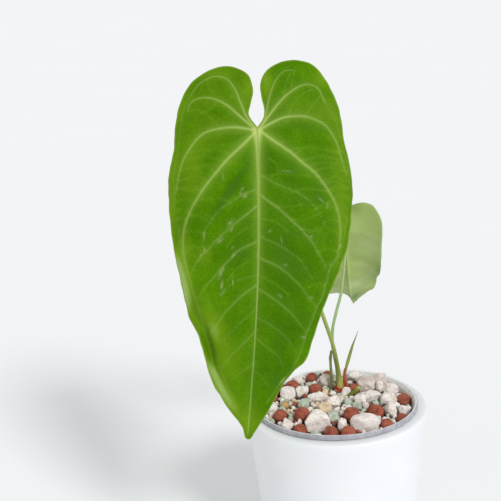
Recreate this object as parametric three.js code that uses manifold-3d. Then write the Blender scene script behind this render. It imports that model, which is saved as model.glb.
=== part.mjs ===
// A young potted Anthurium queremalense in a white cover pot, as a three.js scene graph.
// Millimetres, +Z up. The origin is the centre of the pot's flat base, and the big leaf faces -Y.
//
// The white cover pot carries a clear liner by its lip. The liner holds a bed of mineral gravel with
// fired clay balls, pumice and zeolite stones seated in it. The rootstock stands in a hole in the bed
// and carries two leaves, each a petiole and a blade, a rolled new leaf in its red sheath and the
// stubs of two old petioles.
import * as THREE from "three";
import { mergeVertices } from "three/addons/utils/BufferGeometryUtils.js";
import Module from "manifold-3d";

const wasm = await Module();
wasm.setup();

// Driving dimensions
const POT_HEIGHT = 120;
const POT_TOP_RADIUS = 71.5;
const POT_BASE_RADIUS = 59;
const POT_WALL = 3.4;
const POT_FLOOR = 3.2;
const RIM_INNER_RADIUS = 62.7;
const RIM_DEPTH = 4; // how far the thicker rim reaches down the pot's inside
const LIP_HEIGHT = 4.2; // how far the liner's lip stands above the pot's rim
const LIP_RADIUS = 64;
const LINER_TOP_RADIUS = 62.4; // its outside, at the height of the pot's rim
const LINER_BASE_RADIUS = 43.4; // its outside, were it to reach the pot's base
const LINER_WALL = 1.5;
const LINER_FLOOR_Z = 24; // the space below it is the water reservoir
const DRAIN_RADIUS = 2.6;
const DRAIN_RING = 28;
const DRAIN_COUNT = 6;
const GAP = 0.3; // clearance between pieces that touch
const BED_EDGE_Z = 115.5;
const BED_CROWN = 4.2; // how far the bed rises from its edge to its middle
const BACK_RISE = 6; // how much higher the bed lies at the very back
const ROOT_AT = new THREE.Vector2(5.7, 31); // where the rootstock stands
const ROOT_TOP_Z = 121.4;
const CROWN_ROOM = 7.2; // stones and gravel keep this far from the rootstock's axis
const BLADE_THICKNESS = 0.8;
const BIG_BLADE_LENGTH = 205.8; // petiole joint to tip, as drawn
const ROUND_SIDES = 40;

// Materials, with the colours of the real plant
const finish = (color, roughness, more = {}) =>
  new THREE.MeshStandardMaterial({ color, roughness, metalness: 0, ...more });
const materials = {
  pot: finish(0xf1f2f4, 0.42),
  liner: finish(0xc3c6cf, 0.18, { transparent: true, opacity: 0.45 }),
  gravel: finish(0xc9c2b6, 0.95),
  clay: finish(0x9c4b34, 0.9),
  ochre: finish(0xc98f4a, 0.9),
  pumice: finish(0xe2dad3, 0.95),
  greyStone: finish(0xb3a99c, 0.95),
  zeolite: finish(0xa8c8b4, 0.85),
  blade: finish(0x58900e, 0.45, { side: THREE.DoubleSide }),
  petiole: finish(0x86a54b, 0.5),
  stub: finish(0x4f7a35, 0.55),
  redSheath: finish(0xb5432f, 0.5),
  root: finish(0xcbb491, 0.8),
};

// A small seeded generator, so that every run places and shapes the stones alike.
function seededRandom(seed) {
  let state = seed;
  return () => {
    state = (state * 1664525 + 1013904223) % 4294967296;
    return state / 4294967296;
  };
}

// Solids: closed geometry to a manifold and back

function solidOf(geometry, matrix) {
  const bare = new THREE.BufferGeometry().setAttribute("position", geometry.getAttribute("position"));
  bare.setIndex(geometry.index);
  const placed = matrix ? bare.clone().applyMatrix4(matrix) : bare;
  const merged = mergeVertices(placed, 1e-3);
  return new wasm.Manifold(
    new wasm.Mesh({
      numProp: 3,
      vertProperties: merged.attributes.position.array,
      triVerts: new Uint32Array(merged.index.array),
    }),
  );
}

function geometryOf(solid) {
  const mesh = solid.getMesh();
  const points = new Float32Array(mesh.numVert * 3);
  for (let i = 0; i < mesh.numVert; i++) {
    points.set(mesh.vertProperties.subarray(i * mesh.numProp, i * mesh.numProp + 3), i * 3);
  }
  const geometry = new THREE.BufferGeometry();
  geometry.setAttribute("position", new THREE.BufferAttribute(points, 3));
  geometry.setIndex(new THREE.BufferAttribute(new Uint32Array(mesh.triVerts), 1));
  return geometry;
}

// The largest body of a solid: a cut can leave a loose scrap, which is dropped.
function mainBody(solid) {
  return solid.decompose().sort((a, b) => b.volume() - a.volume())[0];
}

function part(name, geometry, material) {
  const flat = geometry.index ? geometry.toNonIndexed() : geometry;
  flat.computeVertexNormals();
  const mesh = new THREE.Mesh(flat, material);
  mesh.name = name;
  return mesh;
}

// A solid of revolution about Z from [radius, z] points that close on the axis or on themselves.
function turned(profile, sides = ROUND_SIDES) {
  const points = profile.map(([radius, z]) => new THREE.Vector2(radius, z));
  return new THREE.LatheGeometry(points, sides).rotateX(Math.PI / 2);
}

// A round stem along a curve, with radiusAt(t) for t from 0 to 1 and a closed cap at each end.
function stem(curve, radiusAt, steps, sides) {
  const frames = curve.computeFrenetFrames(steps, false);
  const points = [];
  for (let i = 0; i <= steps; i++) {
    const centre = curve.getPointAt(i / steps);
    for (let j = 0; j < sides; j++) {
      const turn = (j / sides) * 2 * Math.PI;
      const radius = radiusAt(i / steps);
      points.push(
        centre
          .clone()
          .addScaledVector(frames.normals[i], radius * Math.cos(turn))
          .addScaledVector(frames.binormals[i], radius * Math.sin(turn)),
      );
    }
  }
  const faces = [];
  for (let i = 0; i < steps; i++) {
    for (let j = 0; j < sides; j++) {
      const here = i * sides + j;
      const next = i * sides + ((j + 1) % sides);
      faces.push(here, next, next + sides, here, next + sides, here + sides);
    }
  }
  const last = steps * sides;
  for (let j = 1; j < sides - 1; j++) {
    faces.push(0, j + 1, j, last, last + j, last + j + 1);
  }
  return new THREE.BufferGeometry().setFromPoints(points).setIndex(faces);
}

const through = (...points) =>
  new THREE.CatmullRomCurve3(points.map((p) => new THREE.Vector3(...p)), false, "centripetal");

// Pots

const potRadiusAt = (z) => POT_BASE_RADIUS + ((POT_TOP_RADIUS - POT_BASE_RADIUS) * z) / POT_HEIGHT;

function coverPot() {
  const innerAt = (z) => potRadiusAt(z) - POT_WALL;
  return turned([
    [0, 0],
    [POT_BASE_RADIUS - 3, 0],
    [POT_BASE_RADIUS - 0.8, 1],
    [potRadiusAt(4), 4],
    [potRadiusAt(POT_HEIGHT - 5), POT_HEIGHT - 5],
    [POT_TOP_RADIUS - 0.7, POT_HEIGHT - 2.4],
    [POT_TOP_RADIUS - 1.9, POT_HEIGHT - 0.8],
    [POT_TOP_RADIUS - 3.8, POT_HEIGHT],
    [RIM_INNER_RADIUS, POT_HEIGHT],
    [RIM_INNER_RADIUS, POT_HEIGHT - RIM_DEPTH],
    [innerAt(POT_HEIGHT - RIM_DEPTH - 3), POT_HEIGHT - RIM_DEPTH - 3],
    [innerAt(POT_FLOOR + 3), POT_FLOOR + 3],
    [innerAt(POT_FLOOR) - 3, POT_FLOOR],
    [0, POT_FLOOR],
  ]);
}

const linerOuterAt = (z) => LINER_BASE_RADIUS + ((LINER_TOP_RADIUS - LINER_BASE_RADIUS) * z) / POT_HEIGHT;
const linerInnerAt = (z) => linerOuterAt(z) - LINER_WALL;

function linerPot() {
  const lipBottom = POT_HEIGHT + GAP;
  const lipTop = POT_HEIGHT + LIP_HEIGHT;
  const floorTop = LINER_FLOOR_Z + LINER_WALL;
  const shell = turned([
    [0, LINER_FLOOR_Z],
    [linerOuterAt(LINER_FLOOR_Z) - 2, LINER_FLOOR_Z],
    [linerOuterAt(LINER_FLOOR_Z + 2), LINER_FLOOR_Z + 2],
    [linerOuterAt(lipBottom), lipBottom],
    [LIP_RADIUS, lipBottom],
    [LIP_RADIUS, lipTop - 0.7],
    [LIP_RADIUS - 0.8, lipTop],
    [linerInnerAt(lipTop) + 0.5, lipTop],
    [linerInnerAt(lipTop - 1.2), lipTop - 1.2],
    [linerInnerAt(floorTop + 2), floorTop + 2],
    [linerInnerAt(floorTop) - 2, floorTop],
    [0, floorTop],
  ]);
  const drain = new THREE.CylinderGeometry(DRAIN_RADIUS, DRAIN_RADIUS, 4 * LINER_WALL, 8);
  drain.rotateX(Math.PI / 2);
  let solid = solidOf(shell);
  for (let i = 0; i < DRAIN_COUNT; i++) {
    const turn = (i / DRAIN_COUNT) * 2 * Math.PI;
    const place = new THREE.Matrix4().makeTranslation(
      DRAIN_RING * Math.cos(turn),
      DRAIN_RING * Math.sin(turn),
      LINER_FLOOR_Z,
    );
    solid = solid.subtract(solidOf(drain, place));
  }
  return solid;
}

// Stones. Each row is [x, y, across], read off the photograph where a stone shows there.

const CLAY_BALLS = [
  [-44.5, -12.5, 11],
  [-27.5, -15.5, 12.8],
  [-31, -38, 10.5],
  [-32.5, 38, 12.5],
  [-15, 52, 9.5],
  [-14, 30, 10.5],
  [-1.5, 56, 8],
  [10, -20.5, 12.5],
  [29.5, -17, 13.2],
  [34.5, -37, 10],
  [-8, -45.5, 10.5],
  [4.5, -48, 11.5],
  [48, -27, 9.4],
  [53, 6, 11.5],
  [17, 27, 10],
  [-50, 22, 10],
  [-43, 35, 9.5],
];
const OCHRE_BALL = [-40, 7, 6.5];

// Pumice rows are [x, y, length, width, height, turn in degrees].
const PUMICE_STONES = [
  [-17.5, -29.5, 19, 17, 15.5, 25],
  [19, -35.5, 21, 12.5, 12.5, -4],
  [41, -15, 9.5, 14.5, 12.5, 8],
  [44.5, 6, 14.5, 10.5, 11.5, 5],
  [47, 24.5, 13.5, 10.5, 10.5, -10],
  [33, 9, 14.5, 10.5, 11.5, 20],
  [19.5, 3.5, 9.5, 9.5, 9.5, 0],
  [-1.5, 1.5, 11.5, 10.5, 10.5, 30],
  [9, 19.5, 8.8, 7.3, 8.4, 15],
  [-14, 13.2, 15.7, 9.5, 9.5, 8],
  [-25, 26, 10, 10.5, 10.5, 0],
  [-37.5, 27, 12.5, 13.5, 12.5, 40],
  [-51.5, 3, 10.5, 12.5, 10.5, 0],
  [-40.5, -28.5, 9.4, 8.4, 8.4, 50],
  [1.5, -35, 7.3, 10.5, 9.4, -15],
  [52, -14.5, 9.4, 8.4, 9.4, 0],
  [-27, 47, 9, 8.5, 8, 20],
  [20, 50, 14, 9, 10.5, -20],
  [7, 53, 10.5, 8.4, 10, 10],
  [38, 27, 6.3, 6.3, 12.5, 0],
];
const GREY_STONES = [
  [28.5, 32.5, 15.5, 13, 16, 30],
  [40, 38, 14, 10, 19, 45],
  [-4.5, 39, 10, 11, 15, 5],
];
const BEIGE_STONE = [-10, -9.5, 12.5, 10.5, 10.5, 25];
const ZEOLITE_CHIPS = [
  [-3.7, -22.3, 10.5, 8.4, 9.4, 20],
  [-25.4, 2.6, 10.5, 7.3, 8.4, 50],
  [16.3, -7.4, 7.3, 6.3, 7.3, 0],
];

// The height of the bed's surface stones at a point: a low mound that climbs towards the back.
const backRise = (y) => BACK_RISE * (Math.max(0, y) / linerInnerAt(BED_EDGE_Z)) ** 2;

function bedHeight(x, y) {
  const share = Math.hypot(x, y) / linerInnerAt(BED_EDGE_Z);
  return BED_EDGE_Z + BED_CROWN * (1 - share * share) + backRise(y);
}

// A stone: a ball of facets whose corners are moved in and out by a seeded share, then stretched.
function stoneGeometry([length, width, height], detail, roughness, random) {
  const geometry = mergeVertices(
    new THREE.IcosahedronGeometry(0.5, detail).deleteAttribute("normal").deleteAttribute("uv"),
    1e-4,
  );
  const position = geometry.getAttribute("position");
  for (let i = 0; i < position.count; i++) {
    const push = 1 + roughness * (random() - 0.5);
    position.setXYZ(
      i,
      position.getX(i) * length * push,
      position.getY(i) * width * push,
      position.getZ(i) * height * push,
    );
  }
  return geometry;
}

// Moves stones apart in plan until none overlaps its neighbours, the liner or the stems.
function spreadApart(stones, fixed) {
  const limit = linerInnerAt(BED_EDGE_Z + BED_CROWN) - GAP;
  for (let round = 0; round < 60; round++) {
    for (const [i, a] of stones.entries()) {
      for (const b of [...stones.slice(0, i), ...fixed]) {
        const need = a.radius + b.radius + GAP;
        const away = new THREE.Vector2(a.x - b.x, a.y - b.y);
        const distance = Math.max(away.length(), 0.01);
        if (distance >= need) continue;
        const push = (need - distance) / distance;
        const share = b.still ? 1 : 0.5;
        a.x += away.x * push * share;
        a.y += away.y * push * share;
        if (!b.still) {
          b.x -= away.x * push * share;
          b.y -= away.y * push * share;
        }
      }
      const out = Math.hypot(a.x, a.y) / (limit - a.radius);
      if (out > 1) {
        a.x /= out;
        a.y /= out;
      }
    }
  }
}

function layStones() {
  const random = seededRandom(7);
  const round = (name, [x, y, across], material) => ({
    name, x, y, material, size: [across * 1.04, across * 1.04, across], turn: 0, detail: 1, roughness: 0.05,
    radius: across * 0.51, sink: 0.08,
  });
  // Small rough stones have 20 faces, which cut corners, so they are made a little larger.
  const rough = (name, [x, y, length, width, height, turn], material, roughness) => {
    const detail = length + width > 21 ? 1 : 0;
    const fill = detail ? 1.06 : 1.2;
    return {
      name, x, y, material, turn, detail, roughness,
      size: [length * fill, width * fill, height * fill],
      radius: (length + width) * 0.245, sink: 0.1,
    };
  };
  const number = (i) => String(i + 1).padStart(2, "0");
  const stones = [
    ...CLAY_BALLS.map((row, i) => round(`clay_ball_${number(i)}`, row, materials.clay)),
    round("clay_ball_ochre", OCHRE_BALL, materials.ochre),
    ...PUMICE_STONES.map((row, i) => rough(`pumice_${number(i)}`, row, materials.pumice, 0.2)),
    ...GREY_STONES.map((row, i) => rough(`grey_stone_${number(i)}`, row, materials.greyStone, 0.24)),
    rough("beige_stone", BEIGE_STONE, materials.ochre, 0.2),
    ...ZEOLITE_CHIPS.map((row, i) => rough(`zeolite_${number(i)}`, row, materials.zeolite, 0.3)),
  ];
  const kept = [{ x: ROOT_AT.x, y: ROOT_AT.y, radius: CROWN_ROOM, still: true }];
  for (const share of [0.2, 0.8]) {
    const [x, y] = CUT_STUB.from.map((start, k) => THREE.MathUtils.lerp(start, CUT_STUB.to[k], share));
    kept.push({ x, y, radius: CUT_STUB.radius + 0.6, still: true });
  }
  spreadApart(stones, kept);
  for (const stone of stones) {
    stone.z = bedHeight(stone.x, stone.y) + stone.size[2] * stone.sink;
    const geometry = stoneGeometry(stone.size, stone.detail, stone.roughness, random);
    stone.solid = solidOf(geometry, stoneMatrix(stone));
    stone.pocket = solidOf(geometry, stoneMatrix(stone, GAP));
  }
  return stones;
}

// A stone gives way to the liner's wall and to the stones laid before it, where it would meet them.
function seatStones(stones) {
  const [low, high] = [BED_EDGE_Z - 20, BED_EDGE_Z + 30];
  const wall = (z) => linerInnerAt(z) - GAP;
  const room = solidOf(turned([[0, low], [wall(low), low], [wall(high), high], [0, high]]));
  stones.forEach((stone, i) => {
    let solid = stone.solid.intersect(room);
    for (const other of stones.slice(0, i)) solid = solid.subtract(other.pocket);
    stone.solid = mainBody(solid);
  });
}

function stoneMatrix(stone, grow = 0) {
  const scale = stone.size.map((size) => 1 + (2 * grow) / size);
  return new THREE.Matrix4().compose(
    new THREE.Vector3(stone.x, stone.y, stone.z),
    new THREE.Quaternion().setFromAxisAngle(new THREE.Vector3(0, 0, 1), THREE.MathUtils.degToRad(stone.turn)),
    new THREE.Vector3(...scale),
  );
}

// Stems of the plant

// The rootstock: an oval head that the petioles stand on, over a tapering stem with its roots. The hole
// for it is grown all round and has headroom, which keeps the gravel clear of the petioles' feet.
function rootstockSolid(grow = 0, headroom = 0) {
  const stretch = new THREE.Matrix4().makeTranslation(ROOT_AT.x, ROOT_AT.y, 0);
  stretch.scale(new THREE.Vector3(1.2, 1, 1));
  const core = turned(
    [
      [0, 76 - grow],
      [3.5 + grow, 78 - grow],
      [4.5 + grow, 100],
      [5 + grow, 112],
      [6.3 + grow, 117],
      [6.3 + grow, ROOT_TOP_Z - 1 + headroom],
      [5.9 + grow, ROOT_TOP_Z + grow + headroom],
      [0, ROOT_TOP_Z + grow + headroom],
    ],
    12,
  );
  let solid = solidOf(core, stretch);
  const rootCount = 5;
  for (let i = 0; i < rootCount; i++) {
    const turn = (i / rootCount) * 2 * Math.PI + 0.35 * Math.sin(5 * i);
    const reach = 20 + 7 * Math.sin(3 * i + 1);
    const out = (share, z) => [
      ROOT_AT.x * (1 - share) + share * reach * Math.cos(turn) + (1 - share) * 2 * Math.cos(turn),
      ROOT_AT.y * (1 - share) + share * reach * Math.sin(turn) + (1 - share) * 2 * Math.sin(turn),
      z,
    ];
    const path = through(out(0, 104 - 3 * (i % 3)), out(0.45, 88), out(0.8, 66), out(1, 38 + 4 * (i % 3)));
    solid = solid.add(solidOf(stem(path, (t) => 1.7 - 0.7 * t + grow, 5, 5)));
  }
  return solid;
}

// Petioles, spike and stub: the points follow the photograph, the radii its widths.
const STEM_FOOT_Z = ROOT_TOP_Z + GAP;
const STEMS = {
  petiole_big: {
    path: through(
      [6.3, 28.7, STEM_FOOT_Z],
      [5.9, 28, 131.4],
      [4.6, 27.1, 141.5],
      [1.3, 24.5, 160.8],
      [-7, 17.5, 191],
      [-19.6, 3.7, 236.2],
      [-33.5, -13.3, 286.4],
      [-46.5, -29, 333.5],
      [-49.5, -31.6, 342.5],
      [-50.7, -33.6, 345.6],
      [-51.2, -37.3, 345.7],
    ),
    radiusAt: (t) => 1.6 - 0.2 * t + 0.55 * bell(t, 0.03) + 0.45 * bell(t - 0.965, 0.03),
    steps: 28,
    sides: 9,
  },
  petiole_small: {
    path: through(
      [5.7, 35.3, STEM_FOOT_Z],
      [4.7, 36.2, 135.8],
      [2.3, 39.7, 153.8],
      [3, 43.8, 166.5],
      [7.8, 52.8, 180.4],
      [12.4, 60.9, 191.4],
      [17.4, 73.4, 213.8],
      [19.3, 79.2, 228.1],
      [19.8, 81.4, 234.4],
      [20.1, 84.4, 237.3],
      [20.1, 87.1, 237.7],
    ),
    radiusAt: (t) => 1.35 - 0.25 * t + 0.35 * bell(t, 0.04) + 0.3 * bell(t - 0.95, 0.04),
    steps: 24,
    sides: 8,
  },
  new_leaf_spike: {
    path: through(
      [10.4, 30, STEM_FOOT_Z],
      [10.9, 29.6, 134.5],
      [13.9, 29.2, 146],
      [17.7, 28.5, 158.3],
      [22.1, 27.8, 170.3],
    ),
    radiusAt: (t) => 0.95 + 0.25 * smooth((t - 0.2) / 0.2) - 1.05 * smooth((t - 0.45) / 0.6),
    steps: 14,
    sides: 8,
  },
  old_petiole_stub: {
    path: through([-0.2, 30.8, STEM_FOOT_Z], [-0.5, 30.5, 136.8], [-0.7, 30.5, 147.3], [0.2, 30.5, 153.6]),
    radiusAt: (t) => 1.2 - 0.25 * t + 0.25 * bell(t - 0.8, 0.07),
    steps: 9,
    sides: 8,
  },
};
const SHEATH = { height: 17, radius: 1.85, tipRadius: 1.6 };
const COLLAR = { inner: 2.3, outer: 3.2, low: 3.6, points: 2.8 };
// The short stub of a cut petiole leans out of the gravel in front of the crown.
const CUT_STUB = { from: [7.8, 13.6, 117], to: [20.5, 14.5, 127.4], radius: 1.8 };

const stemGeometry = ({ path, radiusAt, steps, sides }, grow = 0) =>
  stem(path, (t) => radiusAt(t) + grow, steps, sides);

function cutStub(grow = 0) {
  const axis = new THREE.LineCurve3(new THREE.Vector3(...CUT_STUB.from), new THREE.Vector3(...CUT_STUB.to));
  return stem(axis, (t) => CUT_STUB.radius * (1 - 0.1 * t) + grow, 3, 8);
}

// The red scale leaf round the big petiole's foot: a low ring with a torn, pointed edge.
function cataphyllCollar() {
  const top = STEM_FOOT_Z + COLLAR.low + COLLAR.points;
  const geometry = turned(
    [
      [COLLAR.inner, STEM_FOOT_Z],
      [COLLAR.outer, STEM_FOOT_Z],
      [COLLAR.outer + 0.2, STEM_FOOT_Z + 2],
      [COLLAR.inner + 0.55, top],
      [COLLAR.inner, top],
      [COLLAR.inner, STEM_FOOT_Z],
    ],
    16,
  );
  const position = geometry.getAttribute("position");
  for (let i = 0; i < position.count; i++) {
    if (position.getZ(i) < top - 0.1) continue;
    const turn = Math.atan2(position.getY(i), position.getX(i));
    position.setZ(i, STEM_FOOT_Z + COLLAR.low + COLLAR.points * Math.cos(1.5 * (turn + 2.2)) ** 2);
  }
  const [x, y] = STEMS.petiole_big.path.points[0].toArray();
  return geometry.translate(x, y, 0);
}

// The red sheath of the new leaf: it follows the spike up to its mouth, and the spike cuts its bore.
function cataphyllSheath(grow = 0) {
  const path = STEMS.new_leaf_spike.path;
  const share = SHEATH.height / path.getLength();
  const heights = [0, 0.33, 0.67, 1];
  const axis = new THREE.CatmullRomCurve3(heights.map((height) => path.getPointAt(height * share)));
  return stem(axis, (t) => THREE.MathUtils.lerp(SHEATH.radius, SHEATH.tipRadius, t) + grow, 6, 12);
}

// Leaf blades. A blade is drawn in its own frame: x across it, y up towards its lobes with the tip at
// -BIG_BLADE_LENGTH, z out of its upper face, and the petiole joint at the origin. Its outline is read
// from the photograph, from the bottom of the notch, round the lobe and down to the tip.

// Each half is drawn in four stretches: up the notch, round the lobe, down the shoulder and down the
// flank. vein is the basal vein in its lobe, which the ribs of the first three stretches start from.
const NOTCH_BOTTOM = [0.2, 0.6];
const BLADE_TIP = [0, -BIG_BLADE_LENGTH];
const LEFT_HALF = {
  side: -1,
  vein: [[-6, 4], [-11.5, 10.5], [-16, 18]],
  notch: [[-4.2, 6], [-5.6, 10.5], [-4.1, 19]],
  lobe: [[-3.6, 28], [-8, 37.5], [-21, 42.4], [-35.5, 38.2], [-46.8, 28], [-53, 12]],
  shoulder: [[-54.6, -3], [-54.6, -16], [-57, -33]],
  flank: [
    [-56.5, -50], [-52.4, -79], [-45.7, -106], [-40.4, -126], [-35, -135], [-29.8, -149], [-24, -167],
    [-13.5, -184], [-3.6, -197.5], [-1.4, -204.6],
  ],
};
const RIGHT_HALF = {
  side: 1,
  vein: [[6, 4], [11.5, 10.5], [17, 19]],
  notch: [[3.8, 6], [4.6, 10.7], [2.7, 19.9]],
  lobe: [[1.2, 28], [4, 38.5], [12, 45], [24.5, 48.4], [36.5, 45.6], [44.8, 36], [52, 22.5], [56.4, 8]],
  shoulder: [[58, -5], [62, -22], [64.2, -38]],
  flank: [
    [63.8, -55], [60.9, -78.7], [54, -98.5], [45.9, -119.5], [39.9, -139.5], [35.5, -152], [28.6, -159],
    [20.4, -172], [12.3, -187], [4.6, -200.8], [2, -205.2],
  ],
};
// The small leaf is squarer at the top, fuller down its flanks and has a narrow drip tip.
const SMALL_LEFT_HALF = {
  ...LEFT_HALF,
  lobe: [[-3.6, 27], [-9, 32], [-18, 35], [-35, 40.3], [-49, 40.5], [-57, 33], [-60, 24]],
  shoulder: [[-59, 12], [-56.5, -6], [-54, -28]],
  flank: [
    [-51.5, -49], [-49, -74], [-46.5, -98], [-44.5, -120], [-42.5, -138], [-37.5, -152], [-29, -161.5],
    [-18, -174], [-7.5, -192],
  ],
};
const SMALL_RIGHT_HALF = {
  ...RIGHT_HALF,
  flank: [
    [63.8, -55], [60.9, -78.7], [56, -98.5], [51, -119.5], [46, -139], [38, -154], [25, -163], [13, -170.5],
    [5, -184], [1.8, -199],
  ],
};
const BLADE_ROOT = [0, -2]; // where the first veins leave the midrib
const RIB_SHARES = [0.22, 0.45, 0.66, 0.83, 0.94, 1];
const MIDRIB_HALF_WIDTH = 1.8;

const bell = (distance, width) => Math.exp(-((distance / width) ** 2));
const smooth = (value) => THREE.MathUtils.smoothstep(value, 0, 1);
const flatCurve = (points) =>
  new THREE.CatmullRomCurve3(points.map(([x, y]) => new THREE.Vector3(x, y, 0)), false, "centripetal");

// The midrib bows a little to the right.
const midribX = (y) => (y > 0 ? 0 : 3.6 * Math.sin(Math.PI * Math.min(1, -y / BIG_BLADE_LENGTH) ** 0.9));

function midribPlace(share) {
  const y = THREE.MathUtils.lerp(BLADE_ROOT[1], BLADE_TIP[1], share);
  return new THREE.Vector3(midribX(y), y, 0);
}

// The ribs of one half, each with the edge point that it runs to, the place that it starts from and
// the height of the vein there. steps holds the number of ribs in each stretch.
function ribsOf(half, steps) {
  const stretches = [half.notch, half.lobe, half.shoulder, [...half.flank, BLADE_TIP]];
  const edgePoints = stretches.flat();
  const edge = flatCurve([NOTCH_BOTTOM, ...edgePoints]);
  const vein = flatCurve([BLADE_ROOT, ...half.vein]);
  const places = [
    (share) => ({ root: vein.getPoint(share), ridge: 0.8 * (1 - share) }),
    () => ({ root: vein.getPoint(1), ridge: 0 }),
    (share) => ({ root: vein.getPoint(1 - share), ridge: 0.8 * share }),
    (share) => ({ root: midribPlace(share), ridge: 1 - 0.9 * share }),
  ];
  const ribs = [];
  let passed = 0;
  stretches.forEach((stretch, k) => {
    for (let i = k ? 1 : 0; i <= steps[k]; i++) {
      const share = i / steps[k];
      const tip = edge.getPoint((passed + share * stretch.length) / edgePoints.length);
      ribs.push({ tip, ...places[k](share) });
    }
    passed += stretch.length;
  });
  return ribs;
}

// How far the blade stands out of its flat plane. shape holds the arch along the midrib, the droop of
// the edges, and folds: places on the edge where it rolls up or back.
function bladeRise(x, y, side, inset, edgeY, shape) {
  const along = (-y - 100) / 103;
  const across = Math.abs(x - midribX(y));
  const belowJoint = smooth(-y / 20);
  let rise = shape.arch * (1 - along * along);
  rise -= shape.droop * (across / 58) ** 2;
  rise += shape.keel * belowJoint * (1 - Math.exp(-across / 7));
  const puff = Math.sin(Math.min(1, across / 45) * Math.PI) * Math.cos((edgeY + 0.5 * inset) / 4.2);
  rise += shape.quilt * puff * smooth(-y / 40);
  for (const fold of shape.folds) {
    if (fold.side !== side) continue;
    rise += fold.rise * bell(inset - fold.inset, fold.reach) * bell(edgeY - fold.y, fold.length);
  }
  return rise;
}

function bladeGeometry(shape, thicken = 0) {
  const points = [];
  const faces = [];
  const seen = new Map();
  const thickness = BLADE_THICKNESS + 2 * thicken;
  // Every place in the blade gets one point on each face, so that both faces are cut alike.
  const corner = (x, y, side, inset, edgeY, ridge) => {
    const key = `${Math.round(x * 100)},${Math.round(y * 100)}`;
    if (!seen.has(key)) {
      seen.set(key, points.length);
      const rise = bladeRise(x, y, side, inset, edgeY, shape);
      points.push(new THREE.Vector3(x, y, rise + thickness / 2));
      points.push(new THREE.Vector3(x, y, rise - thickness / 2 - ridge));
    }
    return seen.get(key);
  };
  const rims = shape.halves.map((half) => {
    const rows = ribsOf(half, shape.ribSteps).map(({ tip, root, ridge }) => {
      const length = Math.hypot(tip.x - root.x, tip.y - root.y);
      const first = Math.min(0.2, MIDRIB_HALF_WIDTH / Math.max(length, 0.01));
      return [0, first, ...RIB_SHARES].map((share) => {
        const x = THREE.MathUtils.lerp(root.x, tip.x, share);
        const y = THREE.MathUtils.lerp(root.y, tip.y, share);
        return corner(x, y, half.side, length * (1 - share), tip.y, share ? 0 : shape.ridge * ridge);
      });
    });
    for (let i = 0; i < rows.length - 1; i++) {
      for (let j = 0; j < rows[i].length - 1; j++) {
        const [a, b, c, d] = [rows[i][j], rows[i][j + 1], rows[i + 1][j + 1], rows[i + 1][j]];
        for (const [p, q, r] of half.side < 0 ? [[a, b, c], [a, c, d]] : [[a, c, b], [a, d, c]]) {
          if (p !== q && q !== r && r !== p) faces.push(p, q, r, p + 1, r + 1, q + 1);
        }
      }
    }
    return rows.map((row) => row[row.length - 1]);
  });
  const rim = [...rims[0], ...rims[1].slice(1, -1).reverse()];
  rim.forEach((here, i) => {
    const next = rim[(i + 1) % rim.length];
    faces.push(next, here, here + 1, next, here + 1, next + 1);
  });
  return new THREE.BufferGeometry().setFromPoints(points).setIndex(faces);
}

const BIG_BLADE = {
  halves: [LEFT_HALF, RIGHT_HALF],
  arch: 12,
  droop: 8,
  keel: 3.2,
  quilt: 0.9,
  ridge: 1.6,
  ribSteps: [3, 9, 3, 15],
  folds: [
    { side: -1, y: -123, inset: 0, length: 8, reach: 7, rise: -5 },
    { side: -1, y: -153, inset: 0, length: 22, reach: 3.4, rise: 4.5 },
    { side: -1, y: -146, inset: 5, length: 18, reach: 2.8, rise: -3.4 },
    { side: -1, y: -142, inset: 12.5, length: 26, reach: 6.5, rise: 2.2 },
    { side: 1, y: -150, inset: 0, length: 10, reach: 10, rise: 3 },
    { side: 1, y: -166, inset: 0, length: 10, reach: 12, rise: -5 },
  ],
};
const SMALL_BLADE = {
  halves: [SMALL_LEFT_HALF, SMALL_RIGHT_HALF],
  arch: -16,
  droop: 14,
  keel: 2,
  quilt: 1.2,
  ridge: 2,
  ribSteps: [2, 7, 2, 10],
  folds: [
    { side: -1, y: -125, inset: 0, length: 48, reach: 26, rise: 17 },
    { side: 1, y: -140, inset: 0, length: 50, reach: 26, rise: 12 },
  ],
};

// A frame with its origin at the joint, -Y along the blade to the tip and Z out of its upper face.
function bladeFrame(joint, tip, upperFace) {
  const origin = new THREE.Vector3(...joint);
  const up = origin.clone().sub(new THREE.Vector3(...tip)).normalize();
  const out = new THREE.Vector3(...upperFace);
  out.addScaledVector(up, -out.dot(up)).normalize();
  const right = new THREE.Vector3().crossVectors(up, out);
  return new THREE.Matrix4().makeBasis(right, up, out).setPosition(origin);
}
const BIG_BLADE_FRAME = bladeFrame([-51, -37.4, 348.2], [-70.1, -94.8, 140.8], [0, -0.964, 0.266]);
const BIG_BLADE_SCALE = new THREE.Vector3(1.05, 1.05, 1.05);
const SMALL_BLADE_FRAME = bladeFrame([19.7, 84.8, 239.8], [31.4, 145.1, 151.9], [0.014, 0.836, 0.543]);
const SMALL_BLADE_SCALE = new THREE.Vector3(0.514, 0.521, 1.05);

function leafBlade(name, shape, frame, scale) {
  const mesh = part(name, bladeGeometry(shape), materials.blade);
  mesh.applyMatrix4(frame.clone().scale(scale));
  return mesh;
}

// Assembly

const stones = layStones();
seatStones(stones);

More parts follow.
